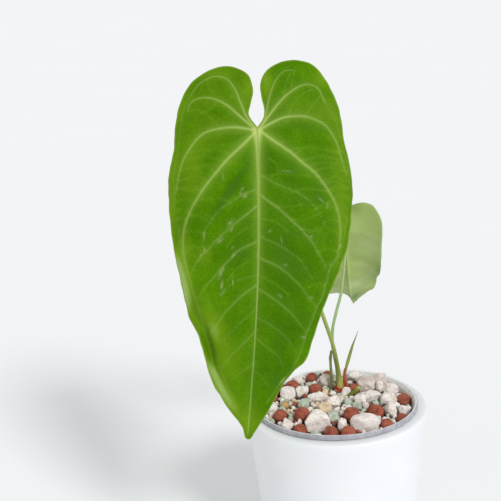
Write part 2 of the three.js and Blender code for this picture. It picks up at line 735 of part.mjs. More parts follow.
// The bed fills the liner up to its mound. Loose gravel is fused to its top by a seeded rule.
function gravelBed() {
  const bottom = LINER_FLOOR_Z + LINER_WALL + GAP;
  const edge = (z) => linerInnerAt(z) - GAP;
  const mound = (share) => BED_EDGE_Z + BED_CROWN * (1 - share * share);
  const shares = [0.85, 0.6, 0.3];
  const heap = turned([
    [0, bottom],
    [edge(bottom) - 2.2, bottom],
    [edge(bottom + 2.2), bottom + 2.2],
    [edge(BED_EDGE_Z), BED_EDGE_Z],
    ...shares.map((share) => [share * edge(BED_EDGE_Z), mound(share)]),
    [0, mound(0)],
  ]);
  const position = heap.getAttribute("position");
  for (let i = 0; i < position.count; i++) {
    const z = position.getZ(i);
    if (z > BED_EDGE_Z - 0.1) position.setZ(i, z + backRise(position.getY(i)));
  }
  let bed = solidOf(heap);
  const random = seededRandom(21);
  const limit = edge(BED_EDGE_Z) - 4;
  const golden = Math.PI * (3 - Math.sqrt(5));
  const gravelCount = 90;
  for (let i = 0; i < gravelCount; i++) {
    const reach = limit * Math.sqrt((i + 0.5) / gravelCount);
    const [x, y] = [reach * Math.cos(i * golden), reach * Math.sin(i * golden)];
    const size = 7.5 + 3 * random();
    const chip = stoneGeometry([size, size * 0.85, size * 0.85], 0, 0.25, random);
    const open = [...stones, { x: ROOT_AT.x, y: ROOT_AT.y, radius: CROWN_ROOM - 1 }].every(
      (other) => Math.hypot(other.x - x, other.y - y) > other.radius + 0.1 * size,
    );
    const place = new THREE.Matrix4().makeTranslation(x, y, bedHeight(x, y) + 1);
    if (open) bed = bed.add(solidOf(chip, place));
  }
  for (const stone of stones) bed = bed.subtract(stone.pocket);
  bed = bed.subtract(rootstockSolid(GAP, 10)).subtract(solidOf(cutStub(GAP)));
  return mainBody(bed);
}

const plant = new THREE.Group();
plant.add(part("rootstock", geometryOf(rootstockSolid()), materials.root));

const bigBlade = leafBlade("blade_big", BIG_BLADE, BIG_BLADE_FRAME, BIG_BLADE_SCALE);
const smallBlade = leafBlade("blade_small", SMALL_BLADE, SMALL_BLADE_FRAME, SMALL_BLADE_SCALE);
plant.add(bigBlade, smallBlade);

// A petiole's tip is cut by the blade that it carries, with a clearance.
function petiole(name, blade, shape) {
  blade.updateMatrixWorld(true);
  const room = solidOf(bladeGeometry(shape, GAP), blade.matrixWorld);
  const solid = mainBody(solidOf(stemGeometry(STEMS[name])).subtract(room));
  return part(name, geometryOf(solid), materials.petiole);
}
plant.add(petiole("petiole_big", bigBlade, BIG_BLADE));
plant.add(petiole("petiole_small", smallBlade, SMALL_BLADE));
plant.add(part("new_leaf_spike", stemGeometry(STEMS.new_leaf_spike), materials.petiole));
plant.add(part("old_petiole_stub", stemGeometry(STEMS.old_petiole_stub), materials.stub));
plant.add(part("cut_petiole_stub", cutStub(), materials.stub));

// The red scales are cut back, with a clearance, from the stems that they hug and from each other.
const roomFor = (...geometries) => geometries.map((one) => solidOf(one)).reduce((all, one) => all.add(one));
const sheathSolid = solidOf(cataphyllSheath()).subtract(
  roomFor(stemGeometry(STEMS.new_leaf_spike, GAP), stemGeometry(STEMS.petiole_big, GAP)),
);
const collarSolid = solidOf(cataphyllCollar()).subtract(
  roomFor(stemGeometry(STEMS.petiole_big, GAP), cataphyllSheath(GAP), stemGeometry(STEMS.petiole_small, GAP)),
);
plant.add(part("cataphyll_sheath", geometryOf(mainBody(sheathSolid)), materials.redSheath));
plant.add(part("cataphyll_collar", geometryOf(mainBody(collarSolid)), materials.redSheath));

const potted = new THREE.Group();
potted.add(part("cover_pot", coverPot(), materials.pot));
potted.add(part("liner_pot", geometryOf(linerPot()), materials.liner));
potted.add(part("gravel_bed", geometryOf(gravelBed()), materials.gravel));
for (const stone of stones) potted.add(part(stone.name, geometryOf(stone.solid), stone.material));
potted.add(plant);

export default potted;
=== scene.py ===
"""The looks of a young potted Anthurium queremalense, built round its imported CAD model.

Lengths in the part's own tables are millimetres, as in the CAD source, and MM turns them into metres.
Colours are screen values from 0 to 255. The big leaf faces -Y, +Z is up and the origin is the centre of the
cover pot's flat base.
"""

import math

import bmesh
import bpy
import numpy as np
from mathutils import Matrix, Vector, noise


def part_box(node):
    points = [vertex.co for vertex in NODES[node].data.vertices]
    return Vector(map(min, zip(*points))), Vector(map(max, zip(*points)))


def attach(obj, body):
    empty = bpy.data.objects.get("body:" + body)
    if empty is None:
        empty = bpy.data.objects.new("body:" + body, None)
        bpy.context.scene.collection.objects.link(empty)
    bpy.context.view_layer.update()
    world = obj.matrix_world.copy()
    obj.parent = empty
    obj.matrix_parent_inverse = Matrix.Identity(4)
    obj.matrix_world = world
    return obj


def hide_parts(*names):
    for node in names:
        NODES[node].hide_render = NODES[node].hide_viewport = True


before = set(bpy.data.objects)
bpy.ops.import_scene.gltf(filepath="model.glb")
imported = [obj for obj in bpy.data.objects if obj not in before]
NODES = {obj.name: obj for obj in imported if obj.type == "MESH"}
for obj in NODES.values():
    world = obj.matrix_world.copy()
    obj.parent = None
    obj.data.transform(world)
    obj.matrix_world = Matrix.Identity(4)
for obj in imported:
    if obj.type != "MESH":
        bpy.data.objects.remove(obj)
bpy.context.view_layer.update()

MM = 0.001

# Driving dimensions, as in the CAD source
POT_HEIGHT = 120
POT_TOP_RADIUS = 71.5
POT_BASE_RADIUS = 59
POT_WALL = 3.4
POT_FLOOR = 3.2
RIM_INNER_RADIUS = 62.7
RIM_DEPTH = 4
LIP_HEIGHT = 4.2
LIP_RADIUS = 64
LINER_TOP_RADIUS = 62.4
LINER_BASE_RADIUS = 43.4
LINER_WALL = 1.5
LINER_FLOOR_Z = 24
LINER_STEP = 0.35
DRAIN_RADIUS = 2.6
DRAIN_RING = 28
DRAIN_COUNT = 6
GAP = 0.3
BED_EDGE_Z = 115.5
BED_CROWN = 4.2
BACK_RISE = 6
ROOT_AT = (5.7, 31)
ROOT_TOP_Z = 121.4
ROOT_COUNT = 5
RED_AT = (6.8, 29.6)
RED_REACH = 6.6
RED_FROM_Z = 116
STEM_FOOT_Z = ROOT_TOP_Z + GAP
BLADE_THICKNESS = 0.8
BIG_BLADE_LENGTH = 205.8


# Small sums

def smooth(value):
    value = np.clip(value, 0, 1)
    return value * value * (3 - 2 * value)


def bell(distance, width):
    return np.exp(-((distance / width) ** 2))


def lerp(a, b, share):
    return a + (b - a) * share


def unit(vectors):
    return vectors / np.linalg.norm(vectors, axis=-1, keepdims=True)


def circle(columns):
    """Angles once round, an equal step apart."""
    return np.linspace(0, 2 * math.pi, columns, endpoint=False)


def turned_from(turn, middle):
    """How far round each turn is from the middle one, from -pi to pi."""
    return np.angle(np.exp(1j * (turn - middle)))


def points_at(x, y, z=0.0):
    """A row for each point. A single number serves all of them."""
    return np.stack(np.broadcast_arrays(x, y, z), axis=-1)


def around(turn, radius, centre=(0, 0), z=0.0):
    return points_at(centre[0] + radius * np.cos(turn), centre[1] + radius * np.sin(turn), z)


def linear(red, green, blue):
    """A screen colour as the shader wants it."""
    shares = (value / 255 for value in (red, green, blue))
    return (*(s / 12.92 if s < 0.04045 else ((s + 0.055) / 1.055) ** 2.4 for s in shares), 1)


def spline(points, shares):
    """Places at shares from 0 to 1 of a centripetal Catmull-Rom curve, which is the CAD source's curve."""
    knots = np.array(points, float)
    knots = np.vstack([2 * knots[0] - knots[1], knots, 2 * knots[-1] - knots[-2]])
    spans = len(points) - 1
    at = np.clip(np.asarray(shares, float), 0, 1) * spans
    start = np.minimum(at.astype(int), spans - 1)
    w = (at - start)[:, None]
    p0, p1, p2, p3 = (knots[start + k] for k in range(4))
    steps = (b - a for a, b in ((p0, p1), (p1, p2), (p2, p3)))
    d0, d1, d2 = (np.sqrt(np.maximum(np.linalg.norm(step, axis=1), 1e-9))[:, None] for step in steps)
    m1 = ((p1 - p0) / d0 - (p2 - p0) / (d0 + d1) + (p2 - p1) / d1) * d1
    m2 = ((p2 - p1) / d1 - (p3 - p1) / (d1 + d2) + (p3 - p2) / d2) * d1
    return p1 + m1 * w + (3 * (p2 - p1) - 2 * m1 - m2) * w**2 + (2 * (p1 - p2) + m1 + m2) * w**3


def lengths_along(path):
    """How far along the path each of its points is."""
    return np.concatenate([[0], np.cumsum(np.linalg.norm(np.diff(path, axis=0), axis=1))])


def even_curve(points, steps):
    """steps + 1 places along the curve, an equal length apart."""
    dense = spline(points, np.linspace(0, 1, 60 * len(points)))
    lengths = lengths_along(dense)
    wanted = np.linspace(0, lengths[-1], steps + 1)
    return np.stack([np.interp(wanted, lengths, column) for column in dense.T], axis=1)


def wobble(places, size, seed=0):
    """Smooth noise from -1 to 1 at each place, with features of the given size in mm."""
    shift = Vector((seed * 7.3, seed * 3.1, seed * 1.7))
    return np.array([noise.noise(Vector(place) / size + shift) for place in places])


# Meshes

def mesh_object(name, points, faces, smooth_angle=None):
    """An object in metres from points in mm. smooth_angle, in degrees, keeps sharper corners sharp."""
    mesh = bpy.data.meshes.new(name)
    mesh.from_pydata((np.asarray(points) * MM).tolist(), [], [list(map(int, face)) for face in faces])
    mesh.update()
    mesh.shade_smooth()
    if smooth_angle is not None:
        mesh.set_sharp_from_angle(angle=math.radians(smooth_angle))
    obj = bpy.data.objects.new(name, mesh)
    bpy.context.scene.collection.objects.link(obj)
    return obj


def joined(name, parts):
    """One object from several (points, faces) pairs."""
    points, faces, count = [], [], 0
    for some_points, some_faces in parts:
        points.append(some_points)
        faces.extend([tuple(index + count for index in face) for face in some_faces])
        count += len(some_points)
    return mesh_object(name, np.vstack(points), faces)


def set_attribute(obj, name, values):
    layer = obj.data.attributes.new(name, "FLOAT", "POINT")
    layer.data.foreach_set("value", np.asarray(values, np.float32))


def mark_faces(obj, marks):
    """Gives each face the number of its material."""
    obj.data.polygons.foreach_set("material_index", np.array(marks, np.int32))


def vertex_rows(obj, what):
    """The "co" or "normal" of each vertex."""
    rows = np.zeros(len(obj.data.vertices) * 3, np.float32)
    obj.data.vertices.foreach_get(what, rows)
    return rows.reshape(-1, 3).astype(float)


def points_of(obj):
    return vertex_rows(obj, "co") / MM


def set_points(obj, points):
    obj.data.vertices.foreach_set("co", (points * MM).astype(np.float32).ravel())
    obj.data.update()


def weld(obj, distance=0.005):
    """Joins points closer than distance, in mm, and turns all faces outwards."""
    bm = bmesh.new()
    bm.from_mesh(obj.data)
    bmesh.ops.remove_doubles(bm, verts=bm.verts, dist=distance * MM)
    bmesh.ops.recalc_face_normals(bm, faces=bm.faces)
    bm.to_mesh(obj.data)
    bm.free()


def apply_modifiers(obj):
    made = bpy.data.meshes.new_from_object(obj.evaluated_get(bpy.context.evaluated_depsgraph_get()))
    obj.modifiers.clear()
    old = obj.data
    obj.data = made
    bpy.data.meshes.remove(old)


def grid_faces(rows, columns, first=0, closed=False):
    """Quads over rows of points. closed joins each row's end to its start."""
    faces = []
    for i in range(rows - 1):
        for j in range(columns if closed else columns - 1):
            here = first + i * columns + j
            beside = first + i * columns + (j + 1) % columns
            faces.append((here, beside, beside + columns, here + columns))
    return faces


def dress(obj, slot, node, *materials):
    """Gives a piece its materials and its body, and hides the CAD node that it stands for. slot is not used.
    """
    for material in materials:
        obj.data.materials.append(material)
    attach(obj, "root")
    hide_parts(node)
    return obj


# Materials

class Surface:
    """A material on one Principled shader, with short calls for the nodes that feed it."""

    def __init__(self, name, **constants):
        self.material = bpy.data.materials.new(name)
        self.material.use_nodes = True
        self.tree = self.material.node_tree
        self.shader = self.tree.nodes["Principled BSDF"]
        for key, value in constants.items():
            self.shader.inputs[key.replace("_", " ")].default_value = value

    def node(self, kind, inputs=None, **settings):
        made = self.tree.nodes.new(kind)
        for key, value in settings.items():
            setattr(made, key, value)
        for key, value in (inputs or {}).items():
            if isinstance(value, bpy.types.NodeSocket):
                self.tree.links.new(value, made.inputs[key])
            else:
                made.inputs[key].default_value = value
        return made

    def place(self, height=1.0):
        """The place on the piece, with its height scaled."""
        place = self.node("ShaderNodeTexCoord").outputs["Object"]
        if height == 1.0:
            return place
        return self.node("ShaderNodeMapping", {"Vector": place, "Scale": (1, 1, height)}).outputs[0]

    def noise(self, size, detail=2.0, roughness=0.5, height=1.0):
        """Noise from 0 to 1 with features of about size mm. A height below 1 draws them out along Z."""
        inputs = {"Vector": self.place(height), "Scale": 1 / (size * MM)}
        inputs.update({"Detail": detail, "Roughness": roughness})
        return self.node("ShaderNodeTexNoise", inputs).outputs[0]

    def cells(self, size, feature="F1"):
        inputs = {"Vector": self.place(), "Scale": 1 / (size * MM)}
        return self.node("ShaderNodeTexVoronoi", inputs, feature=feature).outputs["Distance"]

    def math(self, operation, a, b):
        return self.node("ShaderNodeMath", {0: a, 1: b}, operation=operation).outputs[0]

    def times(self, a, b):
        return self.math("MULTIPLY", a, b)

    def value(self, name, strength=None):
        """What the points of the piece hold under a name, times a strength."""
        found = self.node("ShaderNodeAttribute", attribute_name=name).outputs["Fac"]
        return found if strength is None else self.times(found, strength)

    def fit(self, value, low, high, to_low=0.0, to_high=1.0):
        inputs = {0: value, 1: low, 2: high, 3: to_low, 4: to_high}
        return self.node("ShaderNodeMapRange", inputs, interpolation_type="SMOOTHSTEP").outputs[0]

    def varied(self, value, low, high):
        """The middle part of a noise, from low to high."""
        return self.fit(value, 0.3, 0.7, low, high)

    def mix(self, share, a, b):
        a, b = (linear(*colour) if isinstance(colour, tuple) else colour for colour in (a, b))
        return self.node("ShaderNodeMix", {0: share, 6: a, 7: b}, data_type="RGBA").outputs[2]

    def layered(self, colour, *layers):
        """The colour under layers of (share, colour), the lowest first."""
        for share, above in layers:
            colour = self.mix(share, colour, above)
        return colour

    def ramp(self, value, *stops):
        """A colour ramp through (place, red, green, blue) stops."""
        made = self.node("ShaderNodeValToRGB", {0: value})
        elements = made.color_ramp.elements
        while len(elements) < len(stops):
            elements.new(0.5)
        for element, (place, *colour) in zip(elements, stops):
            element.position = place
            element.color = linear(*colour)
        return made.outputs[0]

    def bump(self, height, depth, normal=None):
        """Adds relief of depth mm for a height from 0 to 1."""
        inputs = {"Height": height, "Distance": depth * MM, "Strength": 1.0}
        if normal is not None:
            inputs["Normal"] = normal
        return self.node("ShaderNodeBump", inputs).outputs[0]

    def done(self, colour, roughness=None, normal=None):
        for key, socket in (("Base Color", colour), ("Roughness", roughness), ("Normal", normal)):
            if socket is not None:
                self.tree.links.new(socket, self.shader.inputs[key])
        return self.material


def leaf_upper_material():
    s = Surface("leaf_upper", Specular_IOR_Level=0.02)
    fine, cloud, speckle = s.noise(4, 4, 0.6), s.noise(9, 3, 0.6), s.noise(1.1, 3, 0.65)
    net = s.cells(2.6, "DISTANCE_TO_EDGE")
    light, dark, halo = s.value("painted_sheen"), s.value("painted_shade"), s.value("halo")
    torn_scar = s.times(s.value("scar"), s.fit(s.noise(1.6, 3, 0.6), 0.36, 0.52, 0.25, 1))
    green = s.ramp(s.noise(24, 3, 0.55), (0.3, 62, 106, 0), (0.52, 70, 118, 0), (0.72, 82, 130, 0))
    green = s.layered(
        green,
        (s.fit(cloud, 0.46, 0.68, 0, 0.4), (86, 136, 0)),
        (s.fit(fine, 0.38, 0.66, 0, 0.45), (62, 110, 0)),
        (s.fit(speckle, 0.5, 0.64, 0, 0.3), (96, 144, 24)),
        (s.fit(speckle, 0.36, 0.5, 0.3, 0), (52, 98, 0)),
        # Painted shade darkens the blade, then painted sheen lightens and greys it, where the patches of
        # painted shade and sheen lie
        (s.times(dark, 0.85), (50, 96, 6)),
        (s.fit(dark, 0.5, 1.2, 0, 0.7), (66, 110, 34)),
        (s.times(light, s.fit(fine, 0.2, 0.8, 0.7, 0.9)), (128, 160, 30)),
        (s.fit(light, 0.5, 1.0, 0, 0.5), (164, 186, 124)),
        (s.fit(net, 0.0, 0.16, 0.1, 0.0), (104, 148, 14)),
        (s.value("fine_vein", 0.34), (122, 158, 44)),
        (s.times(halo, 0.55), (136, 168, 62)),
        (s.fit(halo, 0.75, 1.8, 0, 0.85), (186, 203, 118)),
        (s.value("vein", 0.82), (180, 198, 114)),
        # Painted shade along the midrib's crease
        (s.value("crease", 0.8), (126, 146, 26)),
        (s.times(torn_scar, 0.45), (182, 184, 132)),
        (s.fit(s.value("inset"), 0.2, 1.3, 0.6, 0.0), (140, 162, 58)),
    )
    normal = s.bump(s.noise(0.9, 3, 0.6), 0.04, s.bump(net, 0.07))
    return s.done(green, s.varied(cloud, 0.4, 0.52), normal)


def leaf_under_material():
    s = Surface("leaf_under", Specular_IOR_Level=0.2)
    net = s.cells(3.0, "DISTANCE_TO_EDGE")
    green = s.ramp(s.noise(30, 3, 0.55), (0.3, 158, 180, 102), (0.55, 169, 189, 114), (0.75, 178, 196, 128))
    green = s.layered(
        green,
        # Painted shade, then painted sheen, where the patches of painted shade and sheen lie on the small
        # leaf's under face
        (s.value("painted_shade", 0.85), (98, 136, 62)),
        (s.value("painted_sheen", 0.6), (196, 210, 158)),
        (s.fit(net, 0.0, 0.16, 0.1, 0.0), (176, 194, 134)),
        (s.value("fine_vein", 0.12), (184, 200, 142)),
        (s.value("vein", 0.75), (196, 210, 150)),
    )
    normal = s.bump(s.noise(0.8, 3, 0.6), 0.03, s.bump(net, 0.06))
    return s.done(green, s.varied(s.noise(9, 3, 0.6), 0.5, 0.62), normal)


def leaf_rim_material():
    s = Surface("leaf_rim", Specular_IOR_Level=0.15)
    colour = s.mix(s.noise(4, 3), (140, 162, 58), (160, 178, 84))
    return s.done(colour, s.varied(s.noise(2, 2), 0.4, 0.55), s.bump(s.noise(1, 2), 0.05))


def stem_material(name, mottle, *stops):
    """Stem tissue whose colour runs along the stem through the stops."""
    s = Surface(name, Specular_IOR_Level=0.25)
    streaks = s.noise(0.625, 3, height=0.12)
    colour = s.mix(s.fit(streaks, 0.45, 0.72, 0, 0.4), s.ramp(s.value("along"), *stops), mottle)
    normal = s.bump(s.noise(0.5, 3), 0.03, s.bump(streaks, 0.12))
    return s.done(colour, s.varied(s.noise(3, 3), 0.34, 0.5), normal)


def cataphyll_material(name, streak, fleck, *stops):
    """Papery scale leaf whose colour runs up through the stops, with streaks and pale flecks."""
    s = Surface(name, Specular_IOR_Level=0.3, Sheen_Weight=0.08, Sheen_Roughness=0.4)
    streaks = s.noise(1 / 1.1, 4, height=0.15)
    colour = s.layered(
        s.ramp(s.value("along"), *stops),
        (s.fit(streaks, 0.4, 0.65, 0, 0.5), streak),
        (s.fit(s.noise(1.6, 3), 0.55, 0.75, 0, 0.35), fleck),
    )
    return s.done(colour, s.varied(streaks, 0.4, 0.62), s.bump(streaks, 0.25))


def root_material():
    s = Surface("root", Specular_IOR_Level=0.25)
    bark = s.noise(1.4, 5, 0.65)
    colour = s.layered(
        s.ramp(bark, (0.3, 122, 92, 60), (0.5, 170, 142, 100), (0.7, 202, 182, 146)),
        (s.fit(s.noise(5, 2), 0.5, 0.7, 0, 0.5), (150, 150, 84)),
        (s.value("red", 0.95), s.mix(s.fit(s.noise(1.8, 4), 0.4, 0.62), (158, 52, 40), (204, 96, 70))),
    )
    return s.done(colour, s.varied(bark, 0.75, 0.9), s.bump(bark, 0.5))


def scaled(colour, share=1.0, extra=0):
    """A colour made darker by share or lighter by extra."""
    return tuple(min(255, round(value * share) + extra) for value in colour)


def pumice_material(name, light, shade, speck):
    s = Surface(name, Specular_IOR_Level=0.2)
    lumps = s.noise(4.5, 5, 0.62)
    pores = s.times(s.fit(s.cells(0.95), 0.12, 0.36, 1, 0), s.fit(s.noise(2.4, 2), 0.46, 0.6))
    grains = s.fit(s.cells(2.3), 0.05, 0.14, 1, 0)
    colour = s.layered(
        s.ramp(lumps, (0.3, *shade), (0.52, *light), (0.75, *scaled(light, extra=10))),
        (s.fit(s.noise(14, 2), 0.5, 0.72, 0, 0.45), scaled(light, 0.87)),
        (s.times(pores, 0.75), speck),
        (s.times(grains, 0.6), (92, 74, 64)),
    )
    height = s.math("SUBTRACT", s.math("ADD", s.noise(1.1, 4, 0.7), s.times(lumps, 1.4)), pores)
    return s.done(colour, s.varied(lumps, 0.8, 0.95), s.bump(height, 0.4))


def clay_material(name, light, dark, dust):
    s = Surface(name, Specular_IOR_Level=0.22)
    specks, grain = s.fit(s.cells(1.5), 0.06, 0.18, 1, 0), s.noise(0.6, 5, 0.7)
    colour = s.layered(
        s.ramp(s.noise(7, 4, 0.6), (0.32, *dark), (0.55, *light), (0.75, *scaled(light, extra=14))),
        (s.fit(s.noise(2.2, 5, 0.7), 0.5, 0.72, 0, 0.6), dust),
        (s.times(specks, 0.6), scaled(dark, 0.45)),
    )
    height = s.math("SUBTRACT", s.math("ADD", grain, s.noise(2.4, 4, 0.6)), specks)
    return s.done(colour, s.varied(grain, 0.78, 0.95), s.bump(height, 0.3))


def grainy_material(name, gloss, size, rough, depth, tint, *stops):
    """Chipped stone in colours from the stops. tint is (share, colour) of its broad patches."""
    s = Surface(name, Specular_IOR_Level=gloss)
    broad, grain = s.noise(size, 5, 0.65), s.noise(0.7, 5, 0.7)
    patches = s.fit(s.noise(9, 3), 0.5, 0.68, 0, tint[0])
    colour = s.mix(patches, s.ramp(broad, *stops), tint[1])
    return s.done(colour, s.varied(grain, *rough), s.bump(s.math("ADD", broad, grain), depth))


def bed_material():
    """The fill under the surface stones: fine mineral crumbs of every kind, darker than the loose stones as
    painted shade deep between them.
    """
    s = Surface("bed_fill", Specular_IOR_Level=0.2)
    crumbs = s.node("ShaderNodeTexVoronoi", {"Vector": s.place(), "Scale": 420.0})
    kind = s.node("ShaderNodeSeparateColor", {0: crumbs.outputs["Color"]}).outputs[0]
    edges = s.fit(crumbs.outputs["Distance"], 0.35, 0.75)
    colour = s.ramp(
        kind, (0.0, 60, 52, 46), (0.3, 122, 110, 96), (0.5, 116, 62, 46),
        (0.65, 112, 136, 118), (0.85, 168, 158, 146), (1.0, 84, 76, 66),
    )
    # Painted shade in the gaps between the crumbs
    colour = s.mix(edges, colour, (34, 30, 26))
    return s.done(colour, s.fit(edges, 0, 1, 0.85, 0.95), s.bump(s.math("SUBTRACT", 1.0, edges), 0.9))


def pot_material():
    s = Surface("pot_plastic", Specular_IOR_Level=0.4)
    colour = s.mix(s.fit(s.noise(40, 3), 0.3, 0.7), (232, 234, 237), (237, 238, 240))
    return s.done(colour, s.varied(s.noise(12, 4), 0.36, 0.46), s.bump(s.noise(0.35, 3, 0.6), 0.012))


def liner_material():
    s = Surface("liner_plastic", Transmission_Weight=0.06, IOR=1.45, Specular_IOR_Level=0.5)
    scuffs = s.noise(7, 4, 0.6)
    worn = s.fit(scuffs, 0.4, 0.7)
    # The clear liner's colour is painted light and shade: near white on the inner wall as painted light from
    # the white pot behind it, grey on the lip as painted shade from the dark gravel behind it
    inner = s.mix(worn, (244, 245, 249), (250, 251, 253))
    lip = s.mix(worn, (164, 163, 171), (182, 182, 189))
    colour = s.mix(s.value("lip"), inner, lip)
    return s.done(colour, s.fit(scuffs, 0.3, 0.75, 0.2, 0.3), s.bump(s.noise(12, 2), 0.06))


# Leaf blades. The outline, ribs and large forms are the CAD source's; the veins are read off the photograph.

NOTCH_BOTTOM = (0.2, 0.6)
BLADE_ROOT = (0, -2)
BLADE_TIP = (0, -BIG_BLADE_LENGTH)
ARCH_MIDDLE = 100
ARCH_REACH = 103
DROOP_WIDTH = 58
PUFF_WIDTH = 45
PUFF_SPACING = 4.2
EDGE_WAVER = 0.45
RIM_HALF_THICKNESS = 0.2
# Ripples: height, size and what is added to the seed
RIPPLES = ((0.3, 13, 0), (0.1, 4, 5))
VALLEY_DEPTH = 0.4
CREASE_DEPTH = 0.25
# How far the veins and the fine veins stand out of the upper and of the under face
UPPER_RELIEF = (0.12, 0.05)
UNDER_RELIEF = (0.55, 0.15)
# The midrib from the joint to the tip
MIDRIB_STRENGTH = (0.85, 0.45)
MIDRIB_WIDTH = (1.0, 0.42)
MIDRIB_HALO = (1.2, 0.2)
MIDRIB_HALO_WIDTH = (4.4, 2.6)
JOINT_HALO = 0.75
JOINT_HALO_WIDTH = 9.5
VEIN_STRENGTH = 0.85
VEIN_REACH = 12
VALLEY_WIDTH = 4.5
FINE_VEIN_WIDTH = 0.62
FINE_VEIN_REACH = 5
# Each half's outline from the notch to the tip, and the vein that the ribs of its lobe start on
LEFT_HALF = {
    "side": -1,
    "vein": [(-6, 4), (-11.5, 10.5), (-16, 18)],
    "notch": [(-4.2, 6), (-5.6, 10.5), (-4.1, 19)],
    "lobe": [(-3.6, 28), (-8, 37.5), (-21, 42.4), (-35.5, 38.2), (-46.8, 28), (-53, 12)],
    "shoulder": [(-54.6, -3), (-54.6, -16), (-57, -33)],
    "flank": [(-56.5, -50), (-52.4, -79), (-45.7, -106), (-40.4, -126), (-35, -135), (-29.8, -149),
        (-24, -167), (-13.5, -184), (-3.6, -197.5), (-1.4, -204.6)],
}
RIGHT_HALF = {
    "side": 1,
    "vein": [(6, 4), (11.5, 10.5), (17, 19)],
    "notch": [(3.8, 6), (4.6, 10.7), (2.7, 19.9)],
    "lobe": [(1.2, 28), (4, 38.5), (12, 45), (24.5, 48.4), (36.5, 45.6), (44.8, 36), (52, 22.5), (56.4, 8)],
    "shoulder": [(58, -5), (62, -22), (64.2, -38)],
    "flank": [(63.8, -55), (60.9, -78.7), (54, -98.5), (45.9, -119.5), (39.9, -139.5), (35.5, -152),
        (28.6, -159), (20.4, -172), (12.3, -187), (4.6, -200.8), (2, -205.2)],
}
SMALL_LEFT_HALF = {
    **LEFT_HALF,
    "lobe": [(-3.6, 27), (-9, 32), (-18, 35), (-35, 40.3), (-49, 40.5), (-57, 33), (-60, 24)],
    "shoulder": [(-59, 12), (-56.5, -6), (-54, -28)],
    "flank": [(-51.5, -49), (-49, -74), (-46.5, -98), (-44.5, -120), (-42.5, -138), (-37.5, -152),
        (-29, -161.5), (-18, -174), (-7.5, -192)],
}
SMALL_RIGHT_HALF = {
    **RIGHT_HALF,
    "flank": [(63.8, -55), (60.9, -78.7), (56, -98.5), (51, -119.5), (46, -139), (38, -154), (25, -163),
        (13, -170.5), (5, -184), (1.8, -199)],
}
# Patches of painted sheen and shade: middle, reach across and down, turn in degrees, and how much lighter
# with painted sheen or, below 0, darker with painted shade they are
BIG_SHEEN_AND_SHADE = [
    (-30, 22, 24, 16, 0, 0.12), (30, 22, 24, 14, 0, 0.04), (-20, -185, 30, 60, 0, 0.1),
    (-6.5, 28, 4, 10, 0, 0.5), (26, 14, 12, 8, 0, 0.2), (43, 13, 8, 8, 0, 0.35), (-42, -30, 9, 18, 0, 0.3),
    (-55, -60, 4, 22, 0, 0.3), (5, 33, 4, 11, 0, 0.6), (44, 38, 6, 8, -35, 0.5), (-26, 38, 16, 5, 0, 0.25),
    (-54, 14, 6, 14, 0, 0.3), (-32, -8, 18, 40, 0, 0.2), (-57, -35, 5, 34, 0, 0.35),
    (-50, -97, 5, 18, 10, 0.7), (-44, -110, 6, 20, 14, 0.85), (-30, -126, 8, 14, 14, 0.1),
    (-24, -136, 7, 17, 14, 0.25), (-24, -160, 3, 13, 30, 0.7), (-14, -178, 4, 14, 35, 0.6),
    (1, -194, 12, 14, 0, 0.4), (-14, -148, 9, 22, 0, 0.28), (-24, -132, 5, 10, 14, 0.3),
    (-31, -86, 6, 8, 0, 0.35), (-43, -80, 6, 14, 0, 0.35), (54, -12, 7, 58, 0, 0.26),
    (58, -60, 4, 34, 0, 0.25), (30, -152, 5, 8, 0, 0.3), (6, -22, 5, 15, 0, -0.6), (8, -62, 6, 24, 0, -0.3),
    (-16.8, -43.5, 3.2, 23, -32, -1.0), (-24.6, 11, 7, 3, 0, -0.3), (37, -76, 8, 16, 0, -0.4),
    (22, -29, 9, 9, 0, -0.6), (-29, -27, 6, 9, 0, -0.4), (19, -78, 8, 16, 0, -0.45),
    (19, -142, 7, 14, 0, -0.4), (-7, -84, 6, 10, 0, -0.45), (13, -168, 9, 14, 0, -0.5),
    (42, -45, 5, 6, 0, -0.3), (25, -45, 14, 12, 0, -0.3), (-9, -78, 6, 14, 0, -0.3),
    (-18, -86, 8, 12, 0, -0.25), (20, -108, 12, 42, 0, -0.5), (31, -118, 8, 26, 0, -0.3),
    (-9, -125, 6, 18, 0, -0.25), (18, -166, 6, 10, 0, -0.3), (-38, -66, 6, 14, 0, -0.25),
]
# Painted sheen and shade on the small leaf's under face, in the same columns
SMALL_SHEEN_AND_SHADE = [
    (-16, 33, 18, 10, 0, -0.75), (-50, -74, 8, 30, 0, -0.75), (-2, -166, 12, 24, 0, -1.0),
    (-38, -108, 9, 14, 0, -0.3), (-8, -30, 12, 24, 0, -0.3), (-42, -22, 13, 20, 0, 0.8),
    (-6, -108, 16, 13, 0, 0.9), (-24, -62, 12, 16, 0, 0.4),
]
